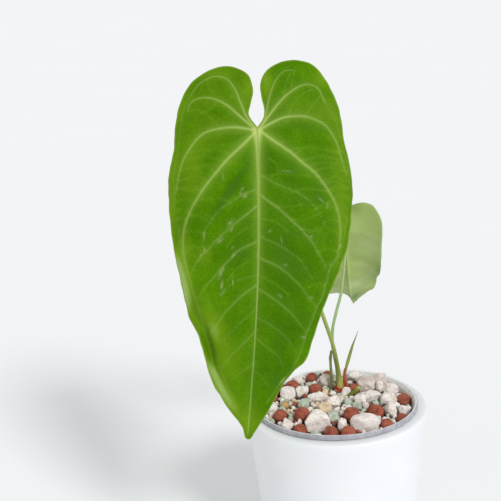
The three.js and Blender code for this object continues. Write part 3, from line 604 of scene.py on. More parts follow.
# Pale scars on the big leaf: middle, length, width and turn in degrees
SCARS = [
    (-6.7, -45.4, 3, 2.6, 0), (-8.5, -41, 2.6, 1, 20), (-9.6, -44, 1.8, 1, 90), (-21, -33.5, 4, 0.9, -80),
    (-15.5, -63.2, 4.6, 1.8, 48), (-14.4, -67.6, 2.8, 1.4, 50), (-32.2, -71.8, 4.6, 1, -85),
    (-21.8, -75.3, 4.6, 1.8, 35), (-31.7, -81.6, 3, 1, -85), (-12.7, -84.2, 3.2, 1.5, 55),
    (-13.3, -79.4, 1.8, 1, 20), (-20.2, -95.4, 7.4, 2.2, 70), (-19.6, -103.9, 5.6, 1.6, 85),
    (-19.1, -109, 4, 1.5, 55), (-12.6, -101.9, 6, 0.8, -88), (-33.9, -85.4, 3, 1.2, 70),
    (20, -28.6, 6.4, 0.8, 0), (47.6, -48.5, 2, 1.5, 0), (47.2, -51, 1.8, 1.1, 90), (43, -46, 5, 1, -35),
    (17.9, -73.6, 4, 0.8, -75), (10.5, -68.1, 2.6, 1, 20), (37.2, -70.8, 2.6, 0.9, 45),
    (56.5, -76.4, 2, 1.4, 0), (20.7, -89.8, 2.6, 1, 10), (18.2, -109.7, 3.2, 1.1, -30),
    (38.2, -110.4, 2.8, 1.2, 0), (34.1, -136.1, 3.2, 1.2, -20), (22, -165.3, 5, 1.4, 50),
]
# Each blade's folds: side, height, inset from the edge, reach along and across the edge, and rise
BIG_BLADE = {
    "halves": (LEFT_HALF, RIGHT_HALF), "sheens_and_shades": BIG_SHEEN_AND_SHADE, "scars": SCARS,
    "arch": 12, "droop": 8, "keel": 3.2, "quilt": 0.9, "ridge": 1.6, "relief": 1.0,
    "sheen_and_shade_face": 0, "under_veins": 1.0, "seed": 1, "rib_steps": (14, 110, 34, 196), "face_steps": (88, 42),
    "folds": [
        (-1, -123, 0, 8, 7, -5), (-1, -153, 0, 22, 3.4, 4.5), (-1, -146, 5, 18, 2.8, -3.4),
        (-1, -142, 12.5, 26, 6.5, 2.2), (1, -150, 0, 10, 10, 3), (1, -166, 0, 10, 12, -5),
    ],
}
SMALL_BLADE = {
    "halves": (SMALL_LEFT_HALF, SMALL_RIGHT_HALF), "sheens_and_shades": SMALL_SHEEN_AND_SHADE, "scars": [],
    "arch": -16, "droop": 14, "keel": 2, "quilt": 0.4, "ridge": 2, "relief": 0.2,
    "sheen_and_shade_face": 1, "under_veins": 0.25, "seed": 2, "rib_steps": (8, 40, 14, 120), "face_steps": (40, 26),
    "folds": [(-1, -125, 0, 48, 26, 17), (1, -140, 0, 50, 26, 12)],
}
# Each vein: width at its start and end, strength at its start and end, and its course
MAIN_VEINS = [
    (0.56, 0.36, 0.85, 0.27, [(-2, 1), (-7, 7), (-11, 16), (-16, 27), (-21, 33), (-28, 35), (-35, 33),
        (-40, 29), (-45, 22)]),
    (0.74, 0.43, 1, 0.32, [(-1, -1), (-12, 8), (-19, 14), (-27, 18.5), (-34, 20), (-41, 19), (-45, 16),
        (-46.5, 11)]),
    (0.74, 0.43, 1, 0.32, [(-1, -1.5), (-15, 0), (-24, -1), (-32, -3), (-38, -7), (-43, -14), (-47, -21),
        (-50, -31), (-52, -45)]),
    (0.81, 0.43, 1, 0.27, [(-1, -3), (-11, -14), (-18, -21), (-25, -30), (-32, -39), (-38, -49), (-42, -57),
        (-45, -66), (-46, -75), (-45, -85), (-42, -97), (-37, -113)]),
    (0.56, 0.36, 0.75, 0.27, [(2, 0), (5, 6), (6.5, 15), (8.5, 25), (12, 34), (17, 40), (24, 41)]),
    (0.74, 0.43, 1, 0.32, [(2, 0), (10, 12), (16, 20), (22, 26), (28, 30), (33, 31.5), (39, 30), (42, 26),
        (45, 19)]),
    (0.74, 0.43, 1, 0.27, [(2, -1), (10, 4), (17, 7.5), (25, 9), (32, 9), (38, 7.5), (45, 4), (50, -2),
        (53.5, -9), (56.5, -19), (60, -30)]),
    (0.81, 0.43, 1, 0.32, [(2, -2), (13, -9.5), (22, -15.5), (31, -23), (39, -29), (44, -35), (50, -43.5),
        (54, -52), (56, -61), (56.5, -70), (55, -82), (51.5, -89)]),
]
# The last four side veins are the collecting veins that run along the margins
SIDE_VEINS = [
    (0.48, 0.32, 0.36, 0.14, [(1, -41), (-10, -46), (-19, -52), (-26, -59.5), (-29, -64), (-32, -70),
        (-33, -80)]),
    (0.54, 0.4, 0.58, 0.21, [(1.5, -52), (-9, -61), (-17, -68), (-24, -75), (-31, -83), (-36, -89),
        (-40, -97)]),
    (0.54, 0.4, 0.5, 0.21, [(2.5, -75), (-9, -81), (-14, -86), (-20, -93), (-25, -99), (-30, -105),
        (-34, -112)]),
    (0.54, 0.4, 0.54, 0.21, [(3, -103), (-6, -110), (-12, -116), (-18, -123), (-22, -130), (-26, -135)]),
    (0.48, 0.32, 0.43, 0.17, [(4, -132), (-6, -143), (-13, -150), (-18, -158)]),
    (0.42, 0.32, 0.36, 0.14, [(4, -153), (-5, -160), (-11, -165)]),
    (0.36, 0.32, 0.25, 0.14, [(2.5, -97), (-5, -99), (-12, -102), (-18, -107)]),
    (0.36, 0.32, 0.25, 0.14, [(3.5, -118), (-5, -126), (-13, -134), (-19, -141)]),
    (0.42, 0.32, 0.36, 0.14, [(1, -30), (9, -35), (19, -39), (29, -43), (36, -48), (42, -55), (46, -63)]),
    (0.54, 0.48, 0.65, 0.28, [(1.5, -43), (8, -48), (14, -52), (19, -56), (24, -60.3), (29, -64.5),
        (33.3, -69), (37.3, -73.5), (42, -81), (47, -89)]),
    (0.42, 0.32, 0.4, 0.14, [(2.5, -70), (7, -73), (14.5, -76), (20, -79), (25.5, -82.5), (30.5, -86),
        (34, -91), (39, -98)]),
    (0.54, 0.4, 0.54, 0.21, [(2.5, -84), (7, -87), (14, -89.5), (21, -94), (27, -99), (33, -105),
        (37, -111), (42, -116)]),
    (0.48, 0.4, 0.47, 0.21, [(3, -105), (13, -111), (20, -116), (26, -121), (31, -127), (36, -133)]),
    (0.42, 0.32, 0.32, 0.14, [(3.5, -124), (11, -128), (19, -133), (25, -139), (30, -147)]),
    (0.42, 0.32, 0.36, 0.14, [(4, -138), (9, -142), (14, -145.5), (19, -150), (22, -157)]),
    (0.36, 0.24, 0.25, 0.1, [(4, -160), (9, -164), (13, -169)]),
    (0.42, 0.4, 0.43, 0.21, [(51, -88), (48.5, -98), (45, -111), (42, -117), (39.5, -125), (36, -133),
        (34, -141), (31, -150), (27, -158), (20, -168), (12, -180)]),
    (0.42, 0.4, 0.32, 0.14, [(-37, -113), (-33, -124), (-28, -137), (-22, -152), (-14, -170), (-7, -184)]),
    (0.36, 0.32, 0.14, 0.1, [(-45, 22), (-49, 12), (-51, 0), (-51.5, -14), (-53.5, -30), (-53, -47),
        (-49, -72), (-43, -99)]),
    (0.36, 0.32, 0.16, 0.1, [(45, 19), (52, 8), (56, -6), (60.5, -24), (62, -40), (60.5, -60), (57, -80),
        (51, -97)]),
]
FINE_VEINS = [
    [(-19, 29), (-17, 24), (-18, 20)], [(-10, 24), (-6, 28), (-4.5, 31)], [(-35, 33), (-33, 27), (-30, 24)],
    [(-27, 18), (-31, 13), (-37, 9)], [(-46, 11), (-38, 11), (-30, 5), (-24, -1)],
    [(-43, -14), (-43.5, -20)], [(-40, -30), (-33, -26), (-24, -26), (-18, -24)],
    [(-50, -42), (-40, -43), (-33, -42)], [(-46, -62), (-38, -60), (-30, -62)], [(22, 29), (24, 40)],
    [(17, 21), (18, 30), (21, 38)], [(31, 9), (36, 16), (42, 24)], [(20, 8), (23, 16), (29, 24), (36, 28)],
    [(42, 24), (50, 16), (55, 6)], [(25, -17), (35, -11), (46, -14), (55, -15)],
    [(33, -25), (43, -22), (56, -23), (61, -28)], [(45, -36), (52, -34), (61, -38)],
    [(53, -52), (58, -54), (62, -60)], [(-30, -83), (-38, -80), (-45, -84)],
    [(-33, -101), (-38, -98), (-42, -97)], [(-26, -118), (-30, -114), (-35, -113)],
    [(36, -68), (44, -64), (55, -68)], [(42, -81), (48, -78), (55, -80)],
    [(36, -104), (41, -101), (47, -102)], [(-21, -134), (-26, -130), (-30, -131)],
    [(8, -20), (13, -24), (14, -30), (8, -34)], [(14, -52), (22, -52), (31, -50)],
    [(24, -60), (32, -60), (41, -56)], [(5, -60), (14, -62), (22, -68)],
    [(-4, -66), (-12, -72), (-17, -79)], [(-3, -88), (-11, -94), (-16, -101)],
    [(30, -66), (38, -67), (44, -66)], [(7, -98), (16, -103), (24, -109)],
]
# Each kind of vein: how much wider it is drawn, how it fades, its glow, its strength high up and low down
VEIN_KINDS = ((MAIN_VEINS, 1.1, 0.7, 0.85, 1, 1), (SIDE_VEINS, 1.15, 1, 0.25, 0.9, 0.6))
# Pairs of veins with cross veins between them: first and last height, number and lift of the cross veins
LADDERS = [
    (MAIN_VEINS[3], MAIN_VEINS[2], -17, -42, 5, 2.5),
    (MAIN_VEINS[3], SIDE_VEINS[-2], -50, -95, 8, 0.6),
    (MAIN_VEINS[7], SIDE_VEINS[-1], -14, -84, 12, 2.2),
    (SIDE_VEINS[8], MAIN_VEINS[7], -32, -60, 4, 1.0),
    (SIDE_VEINS[0], MAIN_VEINS[3], -50, -80, 4, 1.0),
    (SIDE_VEINS[9], SIDE_VEINS[16], -90, -86, 1, 0.5),
]


def midrib_x(y):
    return np.where(y > 0, 0, 3.6 * np.sin(math.pi * np.clip(-y / BIG_BLADE_LENGTH, 0, 1) ** 0.9))


def ribs_of(half, steps):
    """Ends and starts of one half's ribs. steps is the number of ribs in each of the four stretches."""
    stretches = [half["notch"], half["lobe"], half["shoulder"], half["flank"] + [BLADE_TIP]]
    edge = [NOTCH_BOTTOM] + [point for stretch in stretches for point in stretch]
    vein = [BLADE_ROOT] + half["vein"]
    tips, roots, passed = [], [], 0
    for k, stretch in enumerate(stretches):
        shares = np.linspace(0, 1, steps[k] + 1)[1 if k else 0:]
        tips.append(spline(edge, (passed + shares * len(stretch)) / (len(edge) - 1)))
        if k == 3:
            y = lerp(BLADE_ROOT[1], BLADE_TIP[1], shares)
            roots.append(np.stack([midrib_x(y), y], axis=1))
        else:
            roots.append(spline(vein, (shares, shares * 0 + 1, 1 - shares)[k]))
        passed += len(stretch)
    return np.vstack(tips), np.vstack(roots)


def blade_rise(x, y, side, inset, edge_y, shape):
    """How far the blade stands out of its flat plane, as in the CAD source."""
    along = (-y - ARCH_MIDDLE) / ARCH_REACH
    across = np.abs(x - midrib_x(y))
    rise = shape["arch"] * (1 - along * along)
    rise = rise - shape["droop"] * (across / DROOP_WIDTH) ** 2
    rise = rise + shape["keel"] * smooth(-y / 20) * (1 - np.exp(-across / 7))
    puff = np.sin(np.minimum(1, across / PUFF_WIDTH) * math.pi) * smooth(-y / 40)
    rise = rise + shape["quilt"] * puff * np.cos((edge_y + 0.5 * inset) / PUFF_SPACING)
    for fold_side, fold_y, fold_inset, length, reach, height in shape["folds"]:
        if fold_side == side:
            rise = rise + height * bell(inset - fold_inset, reach) * bell(edge_y - fold_y, length)
    return rise


def near_line(places, course, reach):
    """Which places lie near a course, how far from it, and how far along it they are."""
    line = even_curve(course, max(6, int(len(course) * 5)))
    low, high = line.min(0) - reach, line.max(0) + reach
    chosen = np.flatnonzero(np.all((places > low) & (places < high), axis=1))
    if not len(chosen):
        return chosen, np.zeros(0), np.zeros(0)
    starts, spans = line[:-1], np.diff(line, axis=0)
    apart = places[chosen][:, None, :] - starts[None]
    t = np.clip((apart * spans).sum(2) / (spans**2).sum(1), 0, 1)
    distance = np.linalg.norm(apart - t[:, :, None] * spans, axis=2)
    nearest = distance.argmin(1)
    rows = np.arange(len(chosen))
    return chosen, distance[rows, nearest], (nearest + t[rows, nearest]) / len(spans)


def rungs():
    """The fine cross veins that link two longer veins at nearly level heights."""
    source = np.random.default_rng(12)
    made = []
    for inner, outer, first, last, count, lift in LADDERS:
        sides = [([-q for _, q in vein[4]], [p for p, _ in vein[4]]) for vein in (inner, outer)]
        for y in np.linspace(first, last, count) + source.uniform(-1, 1, count):
            start, end = (np.interp(-y, *side) for side in sides)
            bend = lift + source.uniform(-0.8, 0.8)
            near, far = lerp(start, end, source.uniform(0.3, 0.5)), lerp(start, end, 0.75)
            made.append([(start, y - 1.5), (near, y + bend), (far, y + 0.5 * bend), (end, y)])
    return made


def vein_fields(places):
    """Core, halo, valley and fine vein strengths, and the midrib's crease, at leaf places in mm."""
    x, y = places.T
    across = np.abs(x - midrib_x(y))
    down = np.clip(-y / BIG_BLADE_LENGTH, 0, 1)
    narrowed = np.minimum(1, down * 1.6)
    on_rib = smooth((1.5 - y) / 3) * smooth((1 - down) * 30)
    core = on_rib * lerp(*MIDRIB_STRENGTH, down) * bell(across, lerp(*MIDRIB_WIDTH, narrowed))
    halo = on_rib * lerp(*MIDRIB_HALO, narrowed) * bell(across, lerp(*MIDRIB_HALO_WIDTH, down))
    halo = halo + JOINT_HALO * bell(np.hypot(x, y - 2), JOINT_HALO_WIDTH)
    crease = on_rib * bell(across, 0.38) * lerp(1, 0.0, np.minimum(1, down * 1.5))
    valley, fine = np.zeros(len(places)), np.zeros(len(places))
    for veins, wider, fading, glowing, high_share, low_share in VEIN_KINDS:
        for wide, narrow, strong, weak, course in veins:
            chosen, distance, share = near_line(places, course, VEIN_REACH)
            strength = lerp(strong, weak, share**fading)
            strength = strength * lerp(high_share, low_share, min(1, -course[0][1] / 150))
            vein = VEIN_STRENGTH * strength * bell(distance, lerp(wide, narrow, share) * wider)
            glow = strength * ((1 - share) ** 1.2 * glowing + 0.16) * bell(distance, lerp(4.6, 2.2, share))
            core[chosen] = np.maximum(core[chosen], vein)
            halo[chosen] = np.maximum(halo[chosen], glow)
            valley[chosen] = np.maximum(valley[chosen], strength * bell(distance, VALLEY_WIDTH))
    for course in FINE_VEINS + rungs():
        chosen, distance, share = near_line(places, course, FINE_VEIN_REACH)
        mark = bell(distance, FINE_VEIN_WIDTH) * (0.4 + 0.6 * abs(1 - 2 * share))
        fine[chosen] = np.maximum(fine[chosen], mark)
    return core, halo, valley, fine, crease


def patch(places, x, y, wide, tall, turn):
    """A soft oval patch, 1 in its middle, turned by turn degrees."""
    cosine, sine = math.cos(math.radians(turn)), math.sin(math.radians(turn))
    dx, dy = places[:, 0] - x, places[:, 1] - y
    return np.exp(-(((dx * cosine + dy * sine) / wide) ** 2 + ((dy * cosine - dx * sine) / tall) ** 2))


def sheen_and_shade_field(places, sheens_and_shades):
    """How much painted sheen lightens the blade, up to 1, or painted shade darkens it, down to -1, at each
    place.
    """
    sheen_and_shade = np.zeros(len(places))
    for *form, strength in sheens_and_shades:
        sheen_and_shade += strength * patch(places, *form)
    return np.clip(sheen_and_shade, -1, 1)


def scar_field(places, scars):
    scar = np.zeros(len(places))
    for x, y, length, width, turn in scars:
        scar = np.maximum(scar, patch(places, x, y, length / 2, width / 2, turn))
    return scar


def blade_frame(joint, tip, upper_face, scale):
    """The blade's own frame: X across it, -Y down to the tip, Z out of its upper face."""
    origin = Vector(joint)
    up = (origin - Vector(tip)).normalized()
    out = Vector(upper_face)
    out = (out - up * out.dot(up)).normalized()
    turned_so = Matrix((up.cross(out), up, out)).transposed().to_4x4()
    return Matrix.Translation(origin) @ turned_so @ Matrix.Diagonal((*scale, 1))


def leaf_blade(name, node, shape, blade_matrix):
    """A blade with veins in relief. face_steps is the number of steps along a rib, on each face."""
    points, insets, face_of, faces, marks, count = [], [], [], [], [], 0
    for half in shape["halves"]:
        left = half["side"] < 0
        tips, roots = ribs_of(half, shape["rib_steps"])
        edge = lengths_along(tips)
        outward = tips - roots
        reach = np.maximum(np.linalg.norm(outward, axis=1), 1e-6)
        waver = EDGE_WAVER * wobble(points_at(edge, 0), 7, shape["seed"] + half["side"])
        waver = waver * smooth(edge / 8) * smooth((edge[-1] - edge) / 8)
        tips = tips + outward / reach[:, None] * waver[:, None]
        length = np.linalg.norm(tips - roots, axis=1)
        rims = []
        for face, steps in enumerate(shape["face_steps"]):
            t = np.linspace(0, 1, steps + 1)
            share = t * (0.6 + 0.4 * t)
            x, y = (root[:, None] + share * (tip - root)[:, None] for root, tip in zip(roots.T, tips.T))
            inset = length[:, None] * (1 - share)
            rise = blade_rise(x, y, half["side"], inset, tips[:, 1:2], shape)
            points.append(points_at(x, y, rise).reshape(-1, 3))
            insets.append(inset.ravel())
            face_of.append(np.full(x.size, face))
            made = grid_faces(len(tips), steps + 1, count)
            faces += [quad[::-1] for quad in made] if left == (face == 1) else made
            marks += [face] * len(made)
            rims.append(count + np.arange(len(tips)) * (steps + 1) + steps)
            count += x.size
        upper, lower = rims
        made = list(zip(upper[:-1], lower[:-1], lower[1:], upper[1:]))
        faces += made if left else [quad[::-1] for quad in made]
        marks += [2] * len(made)
    points, inset, face_of = np.vstack(points), np.concatenate(insets), np.concatenate(face_of)
    flat, under = points[:, :2].copy(), face_of == 1
    core, halo, valley, fine, crease = vein_fields(flat)
    level = points_at(*flat.T)
    ripple = sum(height * wobble(level, size, shape["seed"] + extra) for height, size, extra in RIPPLES)
    inside = smooth(inset / 6) * shape["relief"]
    body = points[:, 2] + inside * (ripple - VALLEY_DEPTH * valley)
    half_thick = lerp(RIM_HALF_THICKNESS, BLADE_THICKNESS / 2, smooth(inset / 5))
    across = np.abs(flat[:, 0] - midrib_x(flat[:, 1]))
    down = np.clip(-flat[:, 1] / BIG_BLADE_LENGTH, 0, 1)
    keel = shape["ridge"] * (1 - 0.9 * down) * bell(across, 1.5) * smooth((2.5 - flat[:, 1]) / 3)
    above, below = (one * core + other * fine for one, other in (UPPER_RELIEF, UNDER_RELIEF))
    top = body + half_thick + shape["relief"] * above - CREASE_DEPTH * crease
    bottom = body - half_thick - shape["relief"] * below - keel
    points[:, 2] = np.where(under, bottom, top)
    obj = mesh_object(name, points, faces)
    mark_faces(obj, marks)
    # Painted sheen and shade, on one face of the blade only
    sheen_and_shade = sheen_and_shade_field(flat, shape["sheens_and_shades"]) * (face_of == shape["sheen_and_shade_face"])
    held = {
        "vein": np.where(under, core * shape["under_veins"], core), "halo": halo, "fine_vein": fine,
        "crease": crease, "inset": inset * abs(blade_matrix.to_scale().x),
        "scar": scar_field(flat, shape["scars"]),
        "painted_sheen": np.maximum(sheen_and_shade, 0), "painted_shade": np.maximum(-sheen_and_shade, 0),
    }
    for key, values in held.items():
        set_attribute(obj, key, values)
    obj.data.transform(Matrix.Scale(MM, 4) @ blade_matrix @ Matrix.Scale(1 / MM, 4))
    weld(obj)
    return dress(obj, "leaf", node, LEAF_UPPER, LEAF_UNDER, LEAF_RIM)


# Stems

BIG_PETIOLE = [
    (6.3, 28.7, STEM_FOOT_Z), (5.9, 28, 131.4), (4.6, 27.1, 141.5), (1.3, 24.5, 160.8), (-7, 17.5, 191),
    (-19.6, 3.7, 236.2), (-33.5, -13.3, 286.4), (-46.5, -29, 333.5), (-49.5, -31.6, 342.5),
    (-50.7, -33.6, 345.6), (-51.2, -37.3, 345.7),
]
SMALL_PETIOLE = [
    (5.7, 35.3, STEM_FOOT_Z), (4.7, 36.2, 135.8), (2.3, 39.7, 153.8), (3, 43.8, 166.5), (7.8, 52.8, 180.4),
    (12.4, 60.9, 191.4), (17.4, 73.4, 213.8), (19.3, 79.2, 228.1), (19.8, 81.4, 234.4), (20.1, 84.4, 237.3),
    (20.1, 87.1, 237.7),
]
SPIKE = [
    (10.4, 30, STEM_FOOT_Z), (10.9, 29.6, 134.5), (13.9, 29.2, 146), (17.7, 28.5, 158.3), (22.1, 27.8, 170.3),
]
OLD_STUB = [(-0.2, 30.8, STEM_FOOT_Z), (-0.5, 30.5, 136.8), (-0.7, 30.5, 147.3), (0.2, 30.5, 153.6)]
CUT_STUB = [(7.8, 13.6, 117), (20.5, 14.5, 127.4)]


def frames_along(path):
    """Two directions across the path at each of its points, which turn as little as they can."""
    ahead = unit(np.gradient(path, axis=0))
    side = np.cross(ahead[0], (0.3, 1, 0.1))
    sides = []
    for direction in ahead:
        side = unit(side - direction * side.dot(direction))
        sides.append(side)
    return np.array(sides), np.cross(ahead, sides)


def tube(path, radius, sides, end_round=0.0):
    """Points and faces of a stem. radius takes the share along it and the turn round it, as arrays."""
    share, turn = np.linspace(0, 1, len(path)), circle(sides)
    first, second = frames_along(path)
    reach = radius(share[:, None], turn[None, :]) * np.ones((len(path), sides))
    ring = path[:, None, :] + reach[..., None] * (
        np.cos(turn)[None, :, None] * first[:, None, :] + np.sin(turn)[None, :, None] * second[:, None, :]
    )
    points = np.vstack([ring.reshape(-1, 3), path[0], path[-1] + unit(path[-1] - path[-2]) * end_round])
    last, top = len(points) - 1, (len(path) - 1) * sides
    faces = grid_faces(len(path), sides, closed=True)
    faces += [(last - 1, (j + 1) % sides, j) for j in range(sides)]
    faces += [(last, top + j, top + (j + 1) % sides) for j in range(sides)]
    return points, faces, np.concatenate([np.repeat(share, sides), [0, 1]])


def stem(name, slot, node, course, radius, steps, sides, material):
    points, faces, share = tube(even_curve(course, steps), radius, sides, 0.4)
    obj = mesh_object(name, points, faces)
    set_attribute(obj, "along", share)
    weld(obj)
    return dress(obj, slot, node, material)


def big_petiole_radius(t, turn):
    body = 1.6 - 0.2 * t + 0.55 * bell(t, 0.03) + 0.45 * bell(t - 0.965, 0.03) + 0.4 * bell(t - 0.03, 0.014)
    body = body + 0.8 * bell(t - 0.006, 0.018) * smooth(0.5 + 0.5 * np.sin(turn))
    channel = 0.1 * bell(np.cos((turn - 1.2) / 2), 0.25) * smooth((t - 0.1) * 8)
    return body * (1 - 0.5 * (0.05 * np.cos(5 * turn + 3 * t) + channel))


def small_petiole_radius(t, turn):
    body = 1.35 - 0.25 * t + 0.35 * bell(t, 0.04) + 0.3 * bell(t - 0.95, 0.04)
    return body * (1 + 0.03 * np.cos(5 * turn))


def spike_radius(t, turn):
    body = 0.95 + 0.4 * smooth((t - 0.25) / 0.2) - 1.2 * smooth((t - 0.5) / 0.55)
    return body * (1 + 0.07 * np.cos(turn - 9 * t) + 0.05 * np.cos(3 * turn - 16 * t))


def old_stub_radius(t, turn):
    wrinkles = 0.05 * np.cos(7 * turn + 2 * np.sin(9 * t)) * (0.5 + t)
    return (1.2 - 0.25 * t + 0.25 * bell(t - 0.8, 0.07)) * (1 + wrinkles)


def cut_stub_radius(t, turn):
    return 1.8 * (1 - 0.1 * t) * (1 + 0.035 * np.cos(6 * turn + 1)) * (1 - 0.06 * smooth((t - 0.93) * 14))


def cut_stub(material, face_material):
    """The short stub of a cut petiole. Its cut face is a little hollow, with a raised skin round it."""
    sides = 28
    path = even_curve(CUT_STUB, 26)
    points, faces, share = tube(path, cut_stub_radius, sides)
    ahead = unit(np.subtract(CUT_STUB[1], CUT_STUB[0]))
    centre, base, top = path[-1], len(points) - 1, (len(path) - 1) * sides
    from_centre = points[top:top + sides] - centre
    sinks = ((0.9, 0.0), (0.82, 0.14), (0.6, 0.24), (0.3, 0.2))
    rings = [centre + from_centre * size - ahead * sink for size, sink in sinks]
    faces = [face for face in faces if base not in face]
    marks = [0] * (len(faces) + sides)
    points = np.vstack([points[:-1], *rings, centre - ahead * 0.16])
    previous = np.arange(top, top + sides)
    for k in range(len(rings)):
        ring = base + k * sides + np.arange(sides)
        faces += list(zip(previous, np.roll(previous, -1), np.roll(ring, -1), ring))
        previous = ring
    faces += [(len(points) - 1, *pair) for pair in zip(previous, np.roll(previous, -1))]
    obj = mesh_object("cut_stub_stem", points, faces, 50)
    mark_faces(obj, marks + [1] * (len(faces) - len(marks)))
    set_attribute(obj, "along", np.concatenate([share[:-1], np.ones(len(points) - base)]))
    weld(obj)
    return dress(obj, "old_stub", "cut_petiole_stub", material, face_material)


def up_and_down(rows):
    """False with shares that rise from 0 to 1, then True, for the inside, with shares that fall back to 0."""
    rising = [row / (rows - 1) for row in range(rows)]
    return [(False, share) for share in rising] + [(True, 1 - share) for share in rising]


def scale_leaf(name, node, rings, shares, material):
    """A thin shell whose rings run up its outside and down its inside."""
    columns = len(rings[0])
    faces = grid_faces(len(rings), columns, closed=True)
    last = (len(rings) - 1) * columns
    faces += [(last + j, last + (j + 1) % columns, (j + 1) % columns, j) for j in range(columns)]
    obj = mesh_object(name, np.vstack(rings), faces)
    set_attribute(obj, "along", np.concatenate(shares))
    weld(obj)
    return dress(obj, "cataphyll", node, material)


COLLAR_RADIUS = 3.2
COLLAR_THICKNESS = 0.16
COLLAR_BORE = 2.3
COLLAR_HEIGHT = 3.6
COLLAR_POINTS = 2.8
COLLAR_RED_HEIGHT = 6.2
SHEATH_HEIGHT = 13.2
SHEATH_POINT = 3.4
SHEATH_RADIUS = (1.85, 1.5)
SHEATH_THICKNESS = 0.25
SHEATH_BORE = 1.42


def collar_piece(material):
    """The torn red scale leaf round the big petiole's foot, lowest in front."""
    turn = circle(72)
    ragged = 0.55 * wobble(around(turn, 3), 0.8, 3)
    in_front = bell(turned_from(turn, -1.57), 1.0)
    height = COLLAR_HEIGHT + COLLAR_POINTS * np.cos(1.5 * (turn + 2.2)) ** 2
    height = height * (1 - 0.66 * in_front) + 0.5 * ragged
    rings, shares = [], []
    for inside, share in up_and_down(9):
        radius = COLLAR_RADIUS + 0.2 * math.sin(math.pi * min(1, share * 1.6)) - 0.75 * share**1.5
        if inside:
            radius = min(radius - COLLAR_THICKNESS, COLLAR_BORE)
        pleats = 0.06 * np.cos(11 * turn + 2 * np.sin(2 * turn)) * share * (1 - share)
        rings.append(around(turn, radius + pleats, BIG_PETIOLE[0], STEM_FOOT_Z + share * height))
        shares.append(np.clip(share * height / (COLLAR_RED_HEIGHT + 1.2 * ragged), 0, 2) / 2)
    return scale_leaf("scale_leaf_collar", "cataphyll_collar", rings, shares, material)


def sheath_piece(material):
    """The red sheath of the new leaf, with a seam down one side and a pointed mouth."""
    path = even_curve(SPIKE, 120)
    lengths = lengths_along(path)
    turn = circle(56)
    mouth = SHEATH_HEIGHT + SHEATH_POINT * np.cos(turn - 0.4) + 0.45 * wobble(around(turn, 2), 0.7, 8)
    seam = 0.18 * bell(turned_from(turn, 2.6), 0.3)
    first, second = frames_along(path)
    rings, shares = [], []
    for inside, share in up_and_down(30):
        at = share * mouth
        index = np.interp(at, lengths, np.arange(len(path)))
        low = index.astype(int)
        centre = lerp(path[low], path[np.minimum(low + 1, len(path) - 1)], (index - low)[:, None])
        radius = lerp(*SHEATH_RADIUS, at / 17) + 0.05 * np.cos(5 * turn + 4 * share) - seam
        if inside:
            radius = np.minimum(radius - SHEATH_THICKNESS, SHEATH_BORE)
        across = np.cos(turn)[:, None] * first[low] + np.sin(turn)[:, None] * second[low]
        rings.append(centre + radius[:, None] * across)
        shares.append(np.full(len(turn), share))
    return scale_leaf("scale_leaf_sheath", "cataphyll_sheath", rings, shares, material)


def root_radius(t, turn):
    return (1.7 - 0.7 * t) * (1 + 0.06 * np.cos(3 * turn + 20 * t))


def rootstock_piece(material):
    """The knobbly head that the petioles stand on, its tapering stem and the roots in the gravel."""
    profile = [
        (0.01, 76), (3.4, 77.5), (4.1, 84), (4.4, 100), (4.9, 110), (5.7, 114.5), (6.2, 117), (6.35, 119),
        (6.2, 120.4), (5.5, 121.3), (3.5, 121.45), (0.01, 121.4),
    ]
    outline = spline(profile, np.linspace(0, 1, 60))
    turn = circle(40)
    points = []
    for radius, z in outline:
        x, y = 1.2 * radius * np.cos(turn), radius * np.sin(turn)
        knob = 1 + 0.07 * wobble(points_at(x, y, z), 2.2, 4) * min(1, radius / 3)
        points.append(points_at(ROOT_AT[0] + x * knob, ROOT_AT[1] + y * knob, min(z, ROOT_TOP_Z)))
    parts = [(np.vstack(points), grid_faces(len(outline), len(turn), closed=True))]
    for i in range(ROOT_COUNT):
        heading = i / ROOT_COUNT * 2 * math.pi + 0.35 * math.sin(5 * i)
        reach = 20 + 7 * math.sin(3 * i + 1)
        course = []
        for share, z in ((0, 104 - 3 * (i % 3)), (0.45, 88), (0.8, 66), (1, 38 + 4 * (i % 3))):
            out = share * reach + (1 - share) * 2
            course.append((ROOT_AT[0] * (1 - share) + out * math.cos(heading),
                           ROOT_AT[1] * (1 - share) + out * math.sin(heading), z))
        parts.append(tube(even_curve(course, 40), root_radius, 12, 0.5)[:2])
    obj = joined("rootstock_knob", parts)
    x, y, z = points_of(obj).T
    near_crown = smooth((RED_REACH - np.hypot(x - RED_AT[0], y - RED_AT[1])) / 1.6)
    set_attribute(obj, "red", near_crown * smooth((z - RED_FROM_Z) / 2))
    weld(obj)
    return dress(obj, "root", "rootstock", material)


# Pots

def rounded(profile, reaches, steps=5):
    """A profile with its corners turned to arcs. reaches gives each corner's reach in mm, 0 for none."""
    profile = [np.array(corner, float) for corner in profile]
    made = []
    for i, (corner, reach) in enumerate(zip(profile, reaches)):
        if not reach or i in (0, len(profile) - 1):
            made.append(corner)
            continue
        before, after = profile[i - 1] - corner, profile[i + 1] - corner
        start = corner + before * min(0.5, reach / np.linalg.norm(before))
        end = corner + after * min(0.5, reach / np.linalg.norm(after))
        for t in np.linspace(0, 1, steps + 1):
            made.append((1 - t) ** 2 * start + 2 * t * (1 - t) * corner + t * t * end)
    return np.array(made)


def turned(name, profile, columns=192, smooth_angle=35):
    """A solid of revolution about Z. The profile starts and ends on the axis."""
    turn = circle(columns)
    points = np.vstack([around(turn, radius, z=z) for radius, z in profile])
    obj = mesh_object(name, points, grid_faces(len(profile), columns, closed=True))
    weld(obj)
    obj.data.set_sharp_from_angle(angle=math.radians(smooth_angle))
    return obj


def pot_radius(z):
    return lerp(POT_BASE_RADIUS, POT_TOP_RADIUS, z / POT_HEIGHT)


def pot_inner(z):
    return pot_radius(z) - POT_WALL


